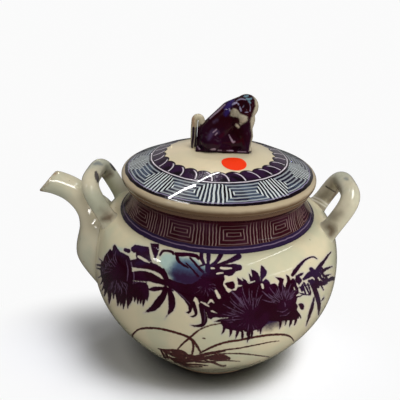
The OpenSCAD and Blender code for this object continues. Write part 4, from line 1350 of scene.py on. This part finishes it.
# Close under the belly the shadow deepens
nook = tree.nodes.new("ShaderNodeAmbientOcclusion")
nook.samples = 16
nook.inputs["Distance"].default_value = 0.03
clear = rise(tree, nook.outputs["AO"], 0.15, 0.7)
seen_floor = mixed(tree, clear, (0.035, 0.036, 0.042, 1), (0.94, 0.95, 1, 1))
feed(tree, shader.inputs["Base Color"], mixed(tree, rays.outputs["Is Camera Ray"], for_light, seen_floor))
# Past an oval round the pot the floor turns as white as the background, but not close under the belly
oval_middle = (-0.021, -0.017, 0)
oval_squeeze = (0.457, 1, 0)
oval_from, oval_to = 0.03, 0.077
far_glow = tree.nodes.new("ShaderNodeEmission")
far_glow.inputs["Strength"].default_value = background_white
away = tree.nodes.new("ShaderNodeTexCoord").outputs["Object"]
away = fed(tree, "ShaderNodeVectorMath", "SUBTRACT", (away, oval_middle))["Vector"]
away = fed(tree, "ShaderNodeVectorMath", "MULTIPLY", (away, oval_squeeze))["Vector"]
away = fed(tree, "ShaderNodeVectorMath", "LENGTH", (away,))["Value"]
faded = times(tree, rise(tree, away, oval_from, oval_to, clear), rays.outputs["Is Camera Ray"])
blend = tree.nodes.new("ShaderNodeMixShader")
feed(tree, blend.inputs[0], faded)
tree.links.new(shader.outputs[0], blend.inputs[1])
tree.links.new(far_glow.outputs[0], blend.inputs[2])
tree.links.new(blend.outputs[0], tree.nodes["Material Output"].inputs["Surface"])
floor_mesh.materials.append(floor_white)

world = bpy.data.worlds.new("studio")
world.use_nodes = True
scene.world = world
tree = world.node_tree
sky = tree.nodes["Background"]
sky.inputs["Color"].default_value = (1.0, 1.0, 1.0, 1)
rays = tree.nodes.new("ShaderNodeLightPath")
seen = times(tree, rays.outputs["Is Camera Ray"], background_white)
way = tree.nodes.new("ShaderNodeSeparateXYZ")
feed(tree, way.inputs[0], tree.nodes.new("ShaderNodeTexCoord").outputs["Generated"])
low_behind = times(tree, rise(tree, way.outputs[1], 0.1, 0.6), fall(tree, way.outputs[2], 0.25, 0.6))
mirrored = times(tree, rays.outputs["Is Glossy Ray"], calc(tree, "MULTIPLY_ADD", low_behind, 0.2, 0.05))
soft = times(tree, rays.outputs["Is Diffuse Ray"], 0.07)
feed(tree, sky.inputs["Strength"], calc(tree, "MAXIMUM", seen, calc(tree, "MAXIMUM", mirrored, soft)))

# Softboxes give the even light and tubes the thin reflections
# Each lamp: where it stands, direction of its long side, size, power, and the one piece it spares or lights
link_states = {"spares": "EXCLUDE", "only": "INCLUDE"}
lamps = {
    "softbox_floor": ((0.5, -0.34, 1.45), (1, 0, 0), (0.7, 0.7), 22.0, "only", floor),
    "softbox_key": ((0.42, -0.4, 1.5), (1, 0, 0), (0.7, 0.7), 9.2, "spares", floor),
    "softbox_top": ((0.06, -0.02, 1.6), (1, 0, 0), (0.7, 0.7), 7.8, "spares", floor),
    "softbox_left": ((-1.1, -0.6, 0.3), (0, 1, 0), (0.9, 0.4), 2.2, "spares", floor),
    "softbox_right": ((1.1, -0.4, 0.08), (0, 1, 0), (0.6, 0.14), 7.5, "spares", floor),
    "softbox_low": ((0.2, -1.3, 0.08), (1, 0, 0), (0.6, 0.14), 3.6, "spares", floor),
    "softbox_back": ((-0.3, 1.2, 0.3), (1, 0, 0), (0.8, 0.5), 4.0, "spares", floor),
    "tube_shoulder": ((0.45, 0.2, 1.05), (0.12, 1, 0), (1.1, 0.02), 1.0, "spares", lid_plate),
    "tube_low": ((0.81, -0.45, 0.44), (0.2, 0.32, -0.05), (0.38, 0.02), 0.2, None, None),
    "tube_spout": ((-0.049, -0.457, 0.756), (0.771, 0.423, 0.233), (0.9, 0.1), 6.0, "only", spout),
    "tube_rear_lug": ((0.4, -0.02, 0.97), (0, 1, 0), (0.8, 0.25), 8.0, "only", lugs["rear_lug"]),
    "tube_front_lug": ((0.1, -0.56, 0.82), (0.1, -0.65, -0.5), (0.6, 0.05), 2.5, "only", lugs["front_lug"]),
    "tube_left": ((-0.76, -0.39, 0.86), (0, 1, 0), (0.16, 0.1), 0.9, None, None),
    "tube_band": ((-0.324, 0.405, 1.09), (0.135, -0.028, 0.063), (0.23, 0.008), 0.45, None, None),
    "tube_dome": ((-0.108, 0.574, 1.046), (0.154, 0.071, -0.028), (0.26, 0.008), 0.45, None, None)}
aim_at = Vector((0, 0, 0.1))
for name, (stand, long_side, size, power, linking, piece) in lamps.items():
    light = bpy.data.lights.new(name, "AREA")
    light.shape = "RECTANGLE"
    light.size, light.size_y = size
    light.energy = power
    lamp = bpy.data.objects.new(name, light)
    back = (Vector(stand) - aim_at).normalized()
    side = Vector(long_side)
    side = (side - back * side.dot(back)).normalized()
    turn = Matrix((side, back.cross(side), back)).transposed().to_4x4()
    lamp.matrix_world = Matrix.Translation(stand) @ turn
    is_tube = name.startswith("tube")
    lamp.visible_glossy = is_tube
    lamp.visible_diffuse = not (is_tube and linking == "only")
    scene.collection.objects.link(lamp)
    if piece:
        linked = bpy.data.collections.new(name + "_" + linking)
        linked.objects.link(piece)
        linked.collection_objects[0].light_linking.link_state = link_states[linking]
        lamp.light_linking.receiver_collection = linked
